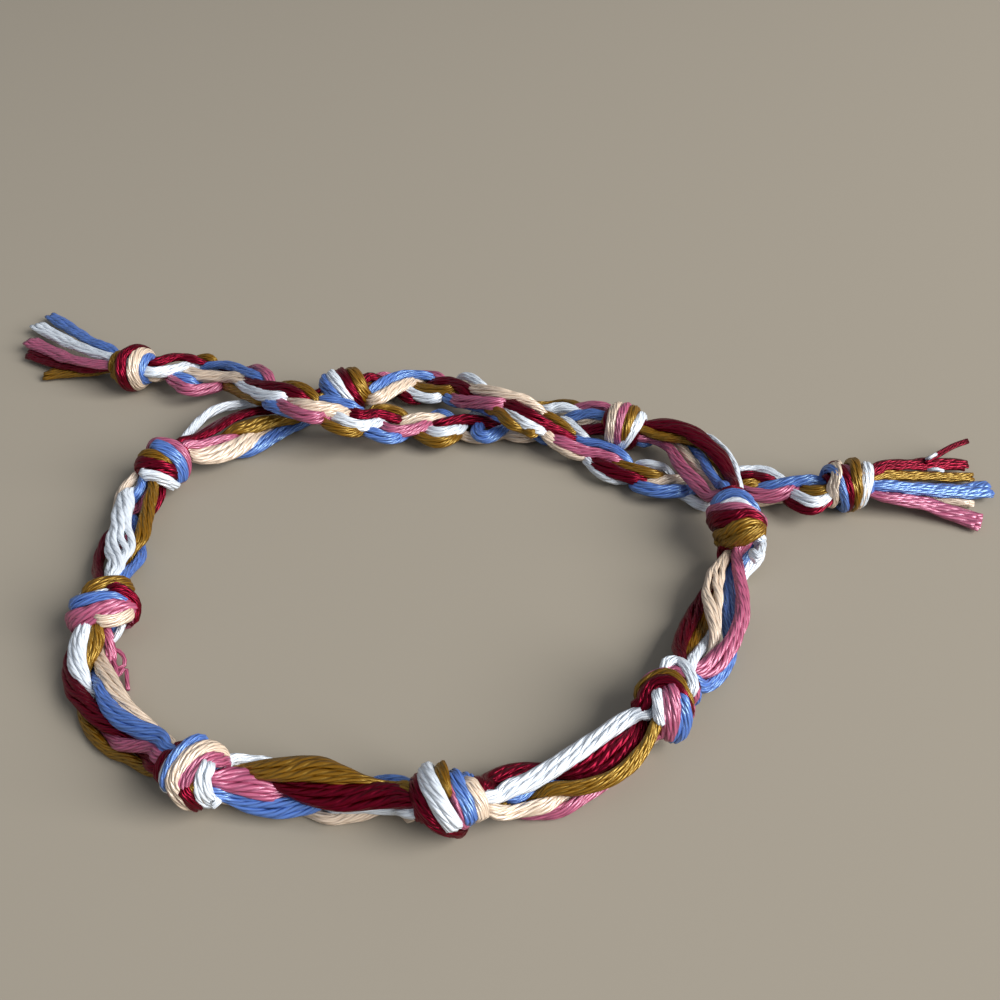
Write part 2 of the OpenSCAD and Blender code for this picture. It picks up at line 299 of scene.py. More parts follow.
# Short strands that come out of a knot and dive back into it: colour, width, lift, and places
BITS = {
    "knot_1": [
        ("blue", 1.6, 0.25, (321, 371), (323, 381), (329, 391), (337, 399), (346, 406)),
        ("white", 1.35, 0.4, (330, 373), (336, 383), (342.5, 393), (349, 401)),
    ],
    "knot_2": [
        ("blue", 1.35, 0.3, (153, 444), (162, 446), (171, 452), (178.5, 460), (183, 470), (182, 481)),
        ("white", 1.4, 0.5, (142, 476), (149, 475.5), (158, 477.5), (166, 481), (174, 486)),
    ],
    "knot_3": [
        ("burgundy", 1.3, 0.3, (112, 587), (121, 588.5), (130, 594), (136, 602), (138, 611),
         (134, 621)),
        ("peach", 1.25, 0.35, (98, 621), (107, 621), (117, 620), (126, 617), (132, 613)),
    ],
    "knot_4": [
        ("burgundy", 1.2, 0.3, (183, 789), (187, 797), (193, 803.5), (200, 807)),
        ("gold", 1.1, 0.25, (194, 783), (196, 791), (201, 799), (208, 804)),
        ("white", 1.35, 0.7, (210, 768), (206, 775), (205.5, 783), (207.5, 791), (212, 797.5),
         (218, 802)),
    ],
    "knot_5": [
        ("gold", 1.1, 0.3, (440, 764), (442.5, 773), (444, 783), (446, 792)),
        ("blue", 1.15, 0.1, (453, 770), (459, 785), (464.5, 797), (469, 810), (471, 824)),
        ("peach", 1.2, 0.0, (469, 778), (475, 788), (480, 799), (482.5, 811), (482, 822)),
        ("white", 1.6, 0.45, (424, 769), (428.5, 782), (435, 795), (442, 808), (449, 819),
         (455, 827)),
    ],
    "knot_6": [
        ("white", 1.1, 0.3, (665, 664), (673, 659.5), (681, 661), (687.5, 667.5), (692, 678),
         (693, 690)),
        ("blue", 1.5, 0.35, (680, 698), (682.5, 708), (684, 720), (680, 732), (672, 740)),
        ("pink", 1.45, 0.45, (670, 690), (671.5, 700), (671.5, 713), (669, 726), (665, 737)),
        ("white", 0.95, 0.5, (657, 694), (657.5, 703), (658, 713), (659.5, 725)),
    ],
    "knot_7": [
        ("gold", 1.5, 0.45, (714, 542), (719, 547.5), (730, 545), (742, 540), (753, 534.5),
         (761, 529)),
        ("white", 1.3, 0.3, (758, 536), (763, 543), (763, 551), (757, 558)),
    ],
}

# Strands from one knot to the next: colour, width, the seats in the rings where it leaves the
# first knot and meets the second, and places on it, with heights and, where it isn't the usual
# one, the width. A seat of 0 is outward, and 1 to 5 go round by way of the top, in sixths.
SECTIONS = {
    "strands_1": [
        ("white", 1.2, 0, 0, (292, 400, 1.4, 1.0), (268, 401, 1.3, 1.0), (250, 404, 1.4, 1.0),
         (236, 404.5, 1.6), (225, 406, 1.8), (213.5, 409.5, 1.9), (204, 416.5, 2.0),
         (195.5, 425, 2.1), (188.5, 433, 2.4, 1.1)),
        ("burgundy", 1.6, 1, 1, (290, 408, 2.0, 1.2), (271, 409.5, 1.9, 1.7),
         (257, 411, 1.9, 2.1), (236, 416.5, 2.0, 2.5), (220, 424.5, 2.2, 2.5),
         (205.5, 433, 2.5, 2.1), (196, 438, 2.7, 1.4)),
        ("gold", 1.2, 2, 5, (298, 420, 1.8, 1.0), (285, 420, 2.0, 1.2), (271, 421.5, 2.2, 1.7),
         (257, 425.5, 2.2, 2.0), (243, 431, 2.1, 2.0), (229, 437, 1.8, 1.5), (214, 442, 1.3, 1.0)),
        ("pink", 1.0, 5, 2, (290, 415, 0.8), (265, 424, 0.8), (250, 430, 1.2), (240, 433.5, 1.8),
         (232, 436, 2.2), (222, 439, 2.5, 1.1), (208, 443, 2.7, 1.1), (196, 446, 2.9)),
        ("peach", 1.8, 3, 3, (293, 421, 1.0, 1.0), (275, 429, 1.2, 1.1), (264, 434, 1.4, 1.3),
         (250, 442, 1.6), (236, 449, 1.8, 2.0), (222, 454, 2.0, 2.2), (208, 456.5, 2.1, 2.0),
         (195, 457.5, 2.3)),
        ("blue", 1.3, 4, 4, (299, 423.5, 0.9, 1.1), (285, 429, 1.0), (271, 436, 1.2, 1.5),
         (257, 444.5, 1.3, 1.5), (245, 450.5, 1.1), (230, 455, 0.8, 1.0), (212, 458.5, 0.8, 1.0)),
    ],
    "strands_2": [
        ("peach", 1.0, 0, 4.5, (141, 476, 2.3), (134, 480, 2.3), (126, 488, 2.1), (121, 494, 1.6),
         (118, 500, 1.0, 0.9), (119, 515, 0.6, 0.9), (119, 535, 0.6, 0.9), (116, 555, 0.8)),
        ("white", 2.1, 5, 1.5, (139, 487, 1.3, 1.1), (130, 493, 1.8, 1.5), (126, 499, 2.2, 1.8),
         (123.5, 508, 2.4), (121.5, 518, 2.5), (120, 530, 2.5), (121, 542, 2.5, 1.85),
         (119.5, 554, 2.6, 1.8), (116, 565, 2.8, 1.5), (114.5, 571, 2.9, 1.4)),
        ("blue", 1.0, 2.4, 2.8, (147, 485, 1.9), (141, 488.5, 2.3), (135, 494, 2.4, 0.9),
         (130, 502, 1.2, 0.9), (128, 516, 0.6, 0.9), (132, 532, 0.6, 0.9), (141, 546, 0.8, 0.9),
         (139, 557, 1.2), (132, 566, 1.5)),
        ("gold", 1.4, 3.1, 3.7, (154.5, 488, 2.3, 1.1), (149.5, 499, 2.2), (147.5, 512, 2.0),
         (144.5, 524, 2.0), (143, 536, 1.9), (140, 544, 1.7, 1.2), (135.5, 551, 1.4, 1.0),
         (128, 560, 1.2, 0.9)),
        ("burgundy", 1.1, 3.6, 0.2, (164, 488, 1.6, 1.0), (162.5, 495, 1.2, 0.9),
         (158, 504, 0.9, 0.9), (148, 516, 0.6, 0.9), (122, 530, 0.6, 0.9), (107, 541, 1.1),
         (101.5, 549, 1.3, 1.3), (98.5, 560, 1.4, 1.3), (97, 569, 1.6)),
        ("pink", 1.0, 4, 5.3, (149, 495, 0.7), (140, 499, 0.7), (130, 514, 0.6), (124, 528, 0.6),
         (122, 545, 0.6), (121, 560, 1.0)),
    ],
    "strands_3": [
        ("white", 1.75, 1, 4, (88, 625, 3.0, 1.4), (81.5, 632, 2.9), (78, 642, 2.7),
         (76, 654, 2.5), (77, 665, 2.3, 1.6), (81, 674.5, 2.0, 1.4), (86, 683, 1.6, 1.1),
         (92, 691, 1.2, 0.9), (104, 705, 0.8, 0.9), (124, 722, 0.7, 0.9), (148, 742, 1.2, 1.0)),
        ("gold", 1.4, 2, 5, (99.5, 631, 2.9, 1.1), (97.5, 638, 2.6), (95.5, 651, 2.2),
         (93, 664, 1.7, 1.0), (90, 676, 1.0, 0.9), (84, 696, 0.7, 0.9), (83, 716, 0.6, 1.0),
         (88, 729, 0.6, 1.0), (96, 739, 0.6, 1.0), (107, 747, 0.6, 1.0), (121, 754, 0.7, 1.0),
         (136, 759, 0.9, 1.0)),
        ("burgundy", 1.5, 0, 0, (75, 641, 1.1, 1.0), (71, 656, 1.0, 1.0), (67, 669, 1.2, 1.1),
         (70.5, 681, 1.5, 1.4), (79, 694.5, 1.6, 1.6), (88.5, 708, 1.7, 1.6), (99, 720, 1.7, 1.5),
         (110.5, 730, 1.6, 1.4), (124, 739, 1.3, 1.2), (146, 749, 1.2, 1.0)),
        ("pink", 1.1, 3, 1, (107, 631, 2.3, 0.9), (109, 641, 1.8, 0.9), (106, 655, 1.2, 0.9),
         (100, 680, 0.7), (96, 704, 0.7), (106, 727, 0.8), (118, 737.5, 1.2), (129, 744.5, 1.6),
         (142, 749.5, 2.0), (157, 752.5, 2.4)),
        ("peach", 1.35, 4, 3, (103, 654, 0.9, 1.0), (101.5, 666, 1.6), (106, 677, 2.1, 1.45),
         (112, 686.5, 2.2, 1.4), (119, 696, 2.1, 1.25), (126.5, 705.5, 2.0, 1.1),
         (134.5, 714.5, 1.8, 0.95), (143, 722.5, 1.4, 0.9), (152, 732, 0.9, 0.9),
         (160, 742, 1.0, 0.9)),
        ("blue", 1.5, 5, 2, (90, 655, 0.8, 0.9), (89, 672, 0.8, 0.9), (93, 685, 1.2, 0.9),
         (99, 693, 1.8, 1.0), (105, 703, 2.2, 1.3), (113, 713.5, 2.5), (124, 721.5, 2.7, 1.6),
         (137, 728.5, 2.9), (150.5, 734, 3.1), (163, 739, 3.2, 1.3)),
    ],
    "strands_4": [
        ("white", 0.9, 3, 0, (226, 766, 2.2, 0.8), (240, 763.5, 2.1, 0.8), (256, 761.5, 1.9, 0.8),
         (270, 762, 1.5), (290, 775, 0.8), (318, 802, 0.8), (335, 807, 1.1), (350, 808.5, 1.4),
         (365, 808.5, 1.6), (378, 808, 1.7), (391, 808, 1.8), (404, 808, 1.9)),
        ("gold", 1.4, 3.4, 2, (230, 773, 1.4, 0.9), (243, 769.5, 2.4, 1.1), (258, 769.5, 3.0, 1.7),
         (272, 770, 3.2, 2.1), (285, 769, 3.3, 2.3), (300, 768, 3.3, 2.5), (315, 768, 3.3, 2.5),
         (330, 771.5, 3.3, 2.1), (345, 777, 3.2, 1.6), (360, 781, 3.1, 1.1), (375, 784.5, 2.8, 0.8),
         (388, 788, 2.2, 0.7), (400, 791, 1.7, 0.7)),
        ("pink", 1.7, 1, 4, (225, 778, 2.9, 2.0), (240, 781, 2.8, 2.2), (255, 785, 2.5, 2.1),
         (270, 790, 2.1, 1.7), (284, 794, 1.7, 1.3), (297, 797, 1.2, 1.0), (320, 798, 0.8, 1.0),
         (355, 796, 0.8, 1.0), (385, 793, 1.2, 1.0)),
        ("burgundy", 2.0, 4, 1, (240, 776, 1.2, 1.0), (258, 779, 1.6, 1.1), (272, 783, 2.0, 1.3),
         (285, 786, 2.3, 1.7), (300, 789, 2.5, 2.0), (315, 793, 2.6, 2.2), (330, 796, 2.7, 2.4),
         (350, 798, 2.7, 2.3), (370, 796, 2.9, 2.2), (390, 794, 3.0, 2.0), (404, 793.5, 3.1, 1.8)),
        ("blue", 1.5, 0, 3, (229, 795, 1.9, 1.2), (243, 802, 1.6, 1.5), (258, 806, 1.4, 1.7),
         (275, 807, 1.4, 1.7), (292, 807, 1.3, 1.6), (308, 808, 1.3, 1.4), (322, 808, 1.2, 1.1),
         (345, 799, 0.7, 1.0), (366, 787, 0.9, 1.0), (381, 782, 1.4, 0.9), (393, 782, 2.0, 0.9),
         (403, 784, 2.2, 1.0)),
        ("peach", 0.9, 5, 5, (232, 800, 0.7), (258, 806, 0.6), (285, 810, 0.6), (310, 807, 0.6),
         (328, 810, 0.7), (343, 813.5, 0.8), (354, 815, 0.9), (365, 813.5, 0.9), (376, 809, 0.8),
         (388, 804, 0.8), (400, 800, 1.0)),
    ],
    "strands_5": [
        ("burgundy", 1.6, 2, 3, (484, 782, 2.4, 1.3), (493, 778, 2.3, 1.8), (507, 773.5, 2.1, 2.0),
         (524, 769.5, 1.9, 1.9), (542, 770, 1.5), (562, 774, 1.5), (583, 767, 1.8, 2.3),
         (602, 758.5, 2.1, 2.6), (620, 747.5, 2.4, 2.2), (636, 734.5, 2.6, 1.6)),
        ("white", 1.6, 1, 2, (491, 799, 2.6, 1.1), (508, 792, 2.7, 1.4), (526, 783, 2.8, 1.6),
         (545, 773, 2.9), (564, 761, 3.0), (583, 748, 3.1), (602, 735, 3.2, 1.55),
         (620, 723, 3.2, 1.4), (634, 715, 3.2, 1.25)),
        ("gold", 1.2, 5, 1, (505, 799, 1.0, 0.9), (528, 797, 1.3, 0.9), (546, 794, 1.8, 1.0),
         (560, 791, 2.1, 1.1), (578, 788.5, 2.3), (596, 785, 2.4), (612, 778.5, 2.5),
         (626, 769.5, 2.6), (638, 757.5, 2.7), (648, 744, 2.9, 1.1)),
        ("peach", 1.2, 0, 5, (490, 810, 1.9, 1.1), (507, 812, 1.7), (524, 810, 1.5),
         (542, 805.5, 1.4), (557, 800, 1.3, 1.1), (572, 794, 1.0, 1.0), (590, 784, 0.7, 0.9),
         (612, 766, 0.7, 0.9), (634, 748, 0.9, 0.9)),
        ("blue", 1.0, 4.6, 4, (490, 803, 1.5), (508, 801, 1.7), (526, 797, 1.6), (545, 789, 1.2),
         (570, 775, 0.7), (600, 757, 0.8), (628, 740, 1.2)),
        ("pink", 1.0, 3.9, 0, (492, 803, 0.7), (515, 810, 0.7), (538, 811, 0.9), (554, 808, 1.0),
         (570, 803, 1.1), (584, 796, 1.0, 0.9), (596, 788, 0.7, 0.9), (610, 776, 0.6, 0.9),
         (626, 759, 0.6, 0.9), (640, 743, 1.2)),
    ],
    "strands_6": [
        ("burgundy", 1.5, 2, 3.3, (680, 648, 2.2, 1.3), (684, 636, 2.0, 1.5), (688, 625, 1.8, 1.6),
         (693, 614, 1.4, 1.6), (700, 603, 1.0, 1.4), (708, 590, 0.8, 1.2), (717, 575, 0.7, 1.0),
         (723, 562, 0.9, 0.9)),
        ("gold", 1.1, 3, 4, (691, 650, 1.8), (696, 639, 1.5), (702, 628, 1.1), (710, 611, 0.7),
         (720, 590, 0.7), (730, 570, 0.9)),
        ("white", 0.95, 1, 0, (693, 659, 2.6), (698, 653, 2.2), (703, 647, 1.3), (710, 636, 0.7),
         (726, 612, 0.6), (737, 590, 0.7), (741, 578, 0.9), (747, 569, 1.3, 1.2),
         (755, 562, 1.8, 1.4), (761, 554, 2.2, 1.5), (761, 546, 2.5, 1.4)),
        ("peach", 1.5, 5, 2.4, (703, 662, 1.3, 0.8), (711, 649, 1.9, 0.8), (715.5, 639, 2.3, 0.9),
         (716, 630, 2.5, 1.15), (714, 618.5, 2.7, 1.4), (712, 603, 2.9, 1.7), (712, 588, 3.0),
         (715.5, 573, 3.0, 1.4), (723, 561, 2.7, 1.1), (731, 550, 2.3, 0.9)),
        ("blue", 1.1, 0, 5, (702, 691, 1.4), (710, 686.5, 1.3), (719, 679, 1.2), (727, 670, 1.1),
         (731.5, 660, 1.0), (731, 648, 1.0), (728.5, 634, 1.3), (728, 618, 1.7, 1.3),
         (728.5, 603, 1.9, 1.4), (729, 588, 1.8, 1.3), (731, 570, 1.8)),
        ("pink", 1.3, 4, 1, (703, 673, 2.2, 1.6), (715, 664, 2.3, 1.9), (726.5, 651, 2.4, 1.7),
         (736, 636, 2.5, 1.5), (742, 619.5, 2.6, 1.45), (743.5, 603, 2.7, 1.4),
         (742, 587, 2.8, 1.3), (738.5, 571.5, 2.9, 1.2), (736, 558, 2.9, 1.1), (736, 548, 2.7, 1.0)),
    ],
    "strands_7": [
        ("white", 0.8, 0, 0, (738, 482, 2.8), (735.5, 471, 2.9), (731, 459.5, 2.9),
         (724, 449.5, 2.7), (715, 442, 2.2), (704, 437, 1.6), (692, 432, 1.2), (680, 427, 1.0),
         (667, 425, 1.0), (655, 425, 1.3)),
        ("burgundy", 1.8, 1, 1, (730, 478, 3.4, 1.4), (726, 466, 3.8, 1.7), (719, 456, 4.0, 1.9),
         (710, 446.5, 4.1, 2.0), (700, 438.5, 4.2, 2.1), (690, 432, 4.2, 2.1),
         (679, 427, 4.1, 2.1), (668, 424.5, 3.9, 2.1), (658, 424.5, 3.6, 1.9), (649, 426, 3.2, 1.5)),
        ("gold", 1.1, 5, 2, (722, 470, 1.8, 0.9), (712, 460, 2.2, 0.9), (701, 451, 2.6, 0.9),
         (690, 443, 3.0), (680.5, 439, 3.3), (669.5, 437.5, 3.3), (658, 437, 3.1),
         (648.5, 435.5, 2.8, 1.0)),
        ("blue", 1.0, 2, 4, (720, 489, 3.2), (716.5, 482.5, 3.2), (711, 474, 3.2), (705.5, 466, 3.1),
         (700, 457.5, 3.0, 0.9), (695, 449, 2.7, 0.9), (688, 441, 2.3, 0.9), (674, 434, 2.0, 0.9)),
        ("peach", 1.0, 4, 5, (712, 482, 2.2), (703, 472, 2.4), (696, 464, 2.6), (689.5, 456, 2.7),
         (684, 448, 2.6), (676, 441, 2.2, 0.9), (662, 436, 1.9, 0.9)),
        ("pink", 1.4, 3, 3, (709, 500, 2.9, 1.2), (704, 492.5, 3.0), (697, 484, 3.0, 1.5),
         (689, 475.5, 3.0, 1.5), (681, 467, 2.9), (675.5, 458.5, 2.8, 1.3), (671, 449, 2.6, 1.1),
         (663, 442, 2.3, 1.0), (652, 438, 2.1, 1.0)),
    ],
}

# Places where a strand's plies part: share of the way, half length as a share, place across from
# -1 to 1, and the gap
PARTINGS = {
    ("strands_2", "white"): [(0.65, 0.12, -0.75, 1.1), (0.84, 0.06, 0.1, 0.25)],
    ("strands_6", "peach"): [(0.53, 0.07, 0.3, 0.4), (0.63, 0.05, 0.0, 0.3)],
}

# Single plies that stand off their strand: colour, then places with heights
LOOSE = {
    "strands_3": [
        ("pink", (103, 638, 1.8), (108, 648, 1.4), (117, 650, 1.3), (124, 657, 1.1),
         (124, 666, 0.9), (117, 668, 0.8), (111, 660, 0.9), (107, 652, 1.2)),
        ("pink", (105, 645, 1.5), (112, 657, 1.2), (116, 668, 1.0), (117, 677, 0.9),
         (121, 672, 0.8), (126, 668, 0.7), (127, 680, 0.5), (128, 690, 0.4)),
        ("pink", (106, 650, 1.2), (109, 662, 1.3), (112, 673, 1.5), (119, 683, 1.0),
         (125, 694, 0.5), (121, 699, 0.4)),
        ("white", (124, 624, 2.4), (121, 632, 2.0), (116, 639, 1.7), (109, 645, 1.3)),
        ("white", (121, 624, 2.5), (118, 632, 2.2), (113, 640, 1.8), (108, 645, 1.4)),
        ("white", (122.5, 626, 2.6), (119.5, 633, 2.3), (114, 641, 1.9), (108, 646, 1.5)),
    ],
    "tassel_right": [
        ("burgundy", (925, 460, 2.2), (938, 453, 2.4), (953, 445, 2.3), (967, 440, 2.0)),
        ("burgundy", (925, 463, 2.2), (938, 456, 2.3), (953, 447.5, 2.2), (968, 442, 2.0)),
        ("white", (926, 459.5, 2.3), (931, 457, 2.7), (936, 454, 2.6)),
        ("white", (928, 470, 2.2), (936, 469, 2.6), (943, 471, 2.2)),
    ],
}

# Points on the middle lines of the two ties, from left to right
TIE_ROUTES = {
    "braid_left": [
        (-26.5, 30, 1.4), (-22.5, 27.7, 2.5), (-18.7, 24.6, 4.1), (-15, 22.1, 4.7),
        (-11.8, 20.4, 4.3), (-8.8, 20.1, 3.4), (-5.8, 20.3, 2.3), (-2.6, 20.7, 1.6),
        (1.2, 21, 1.3), (5.3, 21.7, 1.2), (9, 22.8, 1.2), (12.6, 23.3, 1.3),
    ],
    "braid_right": [
        (-4.6, 28.5, 1.5), (-0.7, 28.1, 1.5), (3, 26.2, 2.6), (5, 24.1, 3.5), (7, 22, 3.7),
        (9.2, 20.1, 3.4), (11.8, 18.1, 2.1), (14.8, 15.9, 1.3), (18.2, 13.6, 1.2),
        (21.6, 11.9, 1.2), (25, 11.1, 1.18), (28.5, 11, 1.18), (32, 10.6, 1.3),
    ],
}

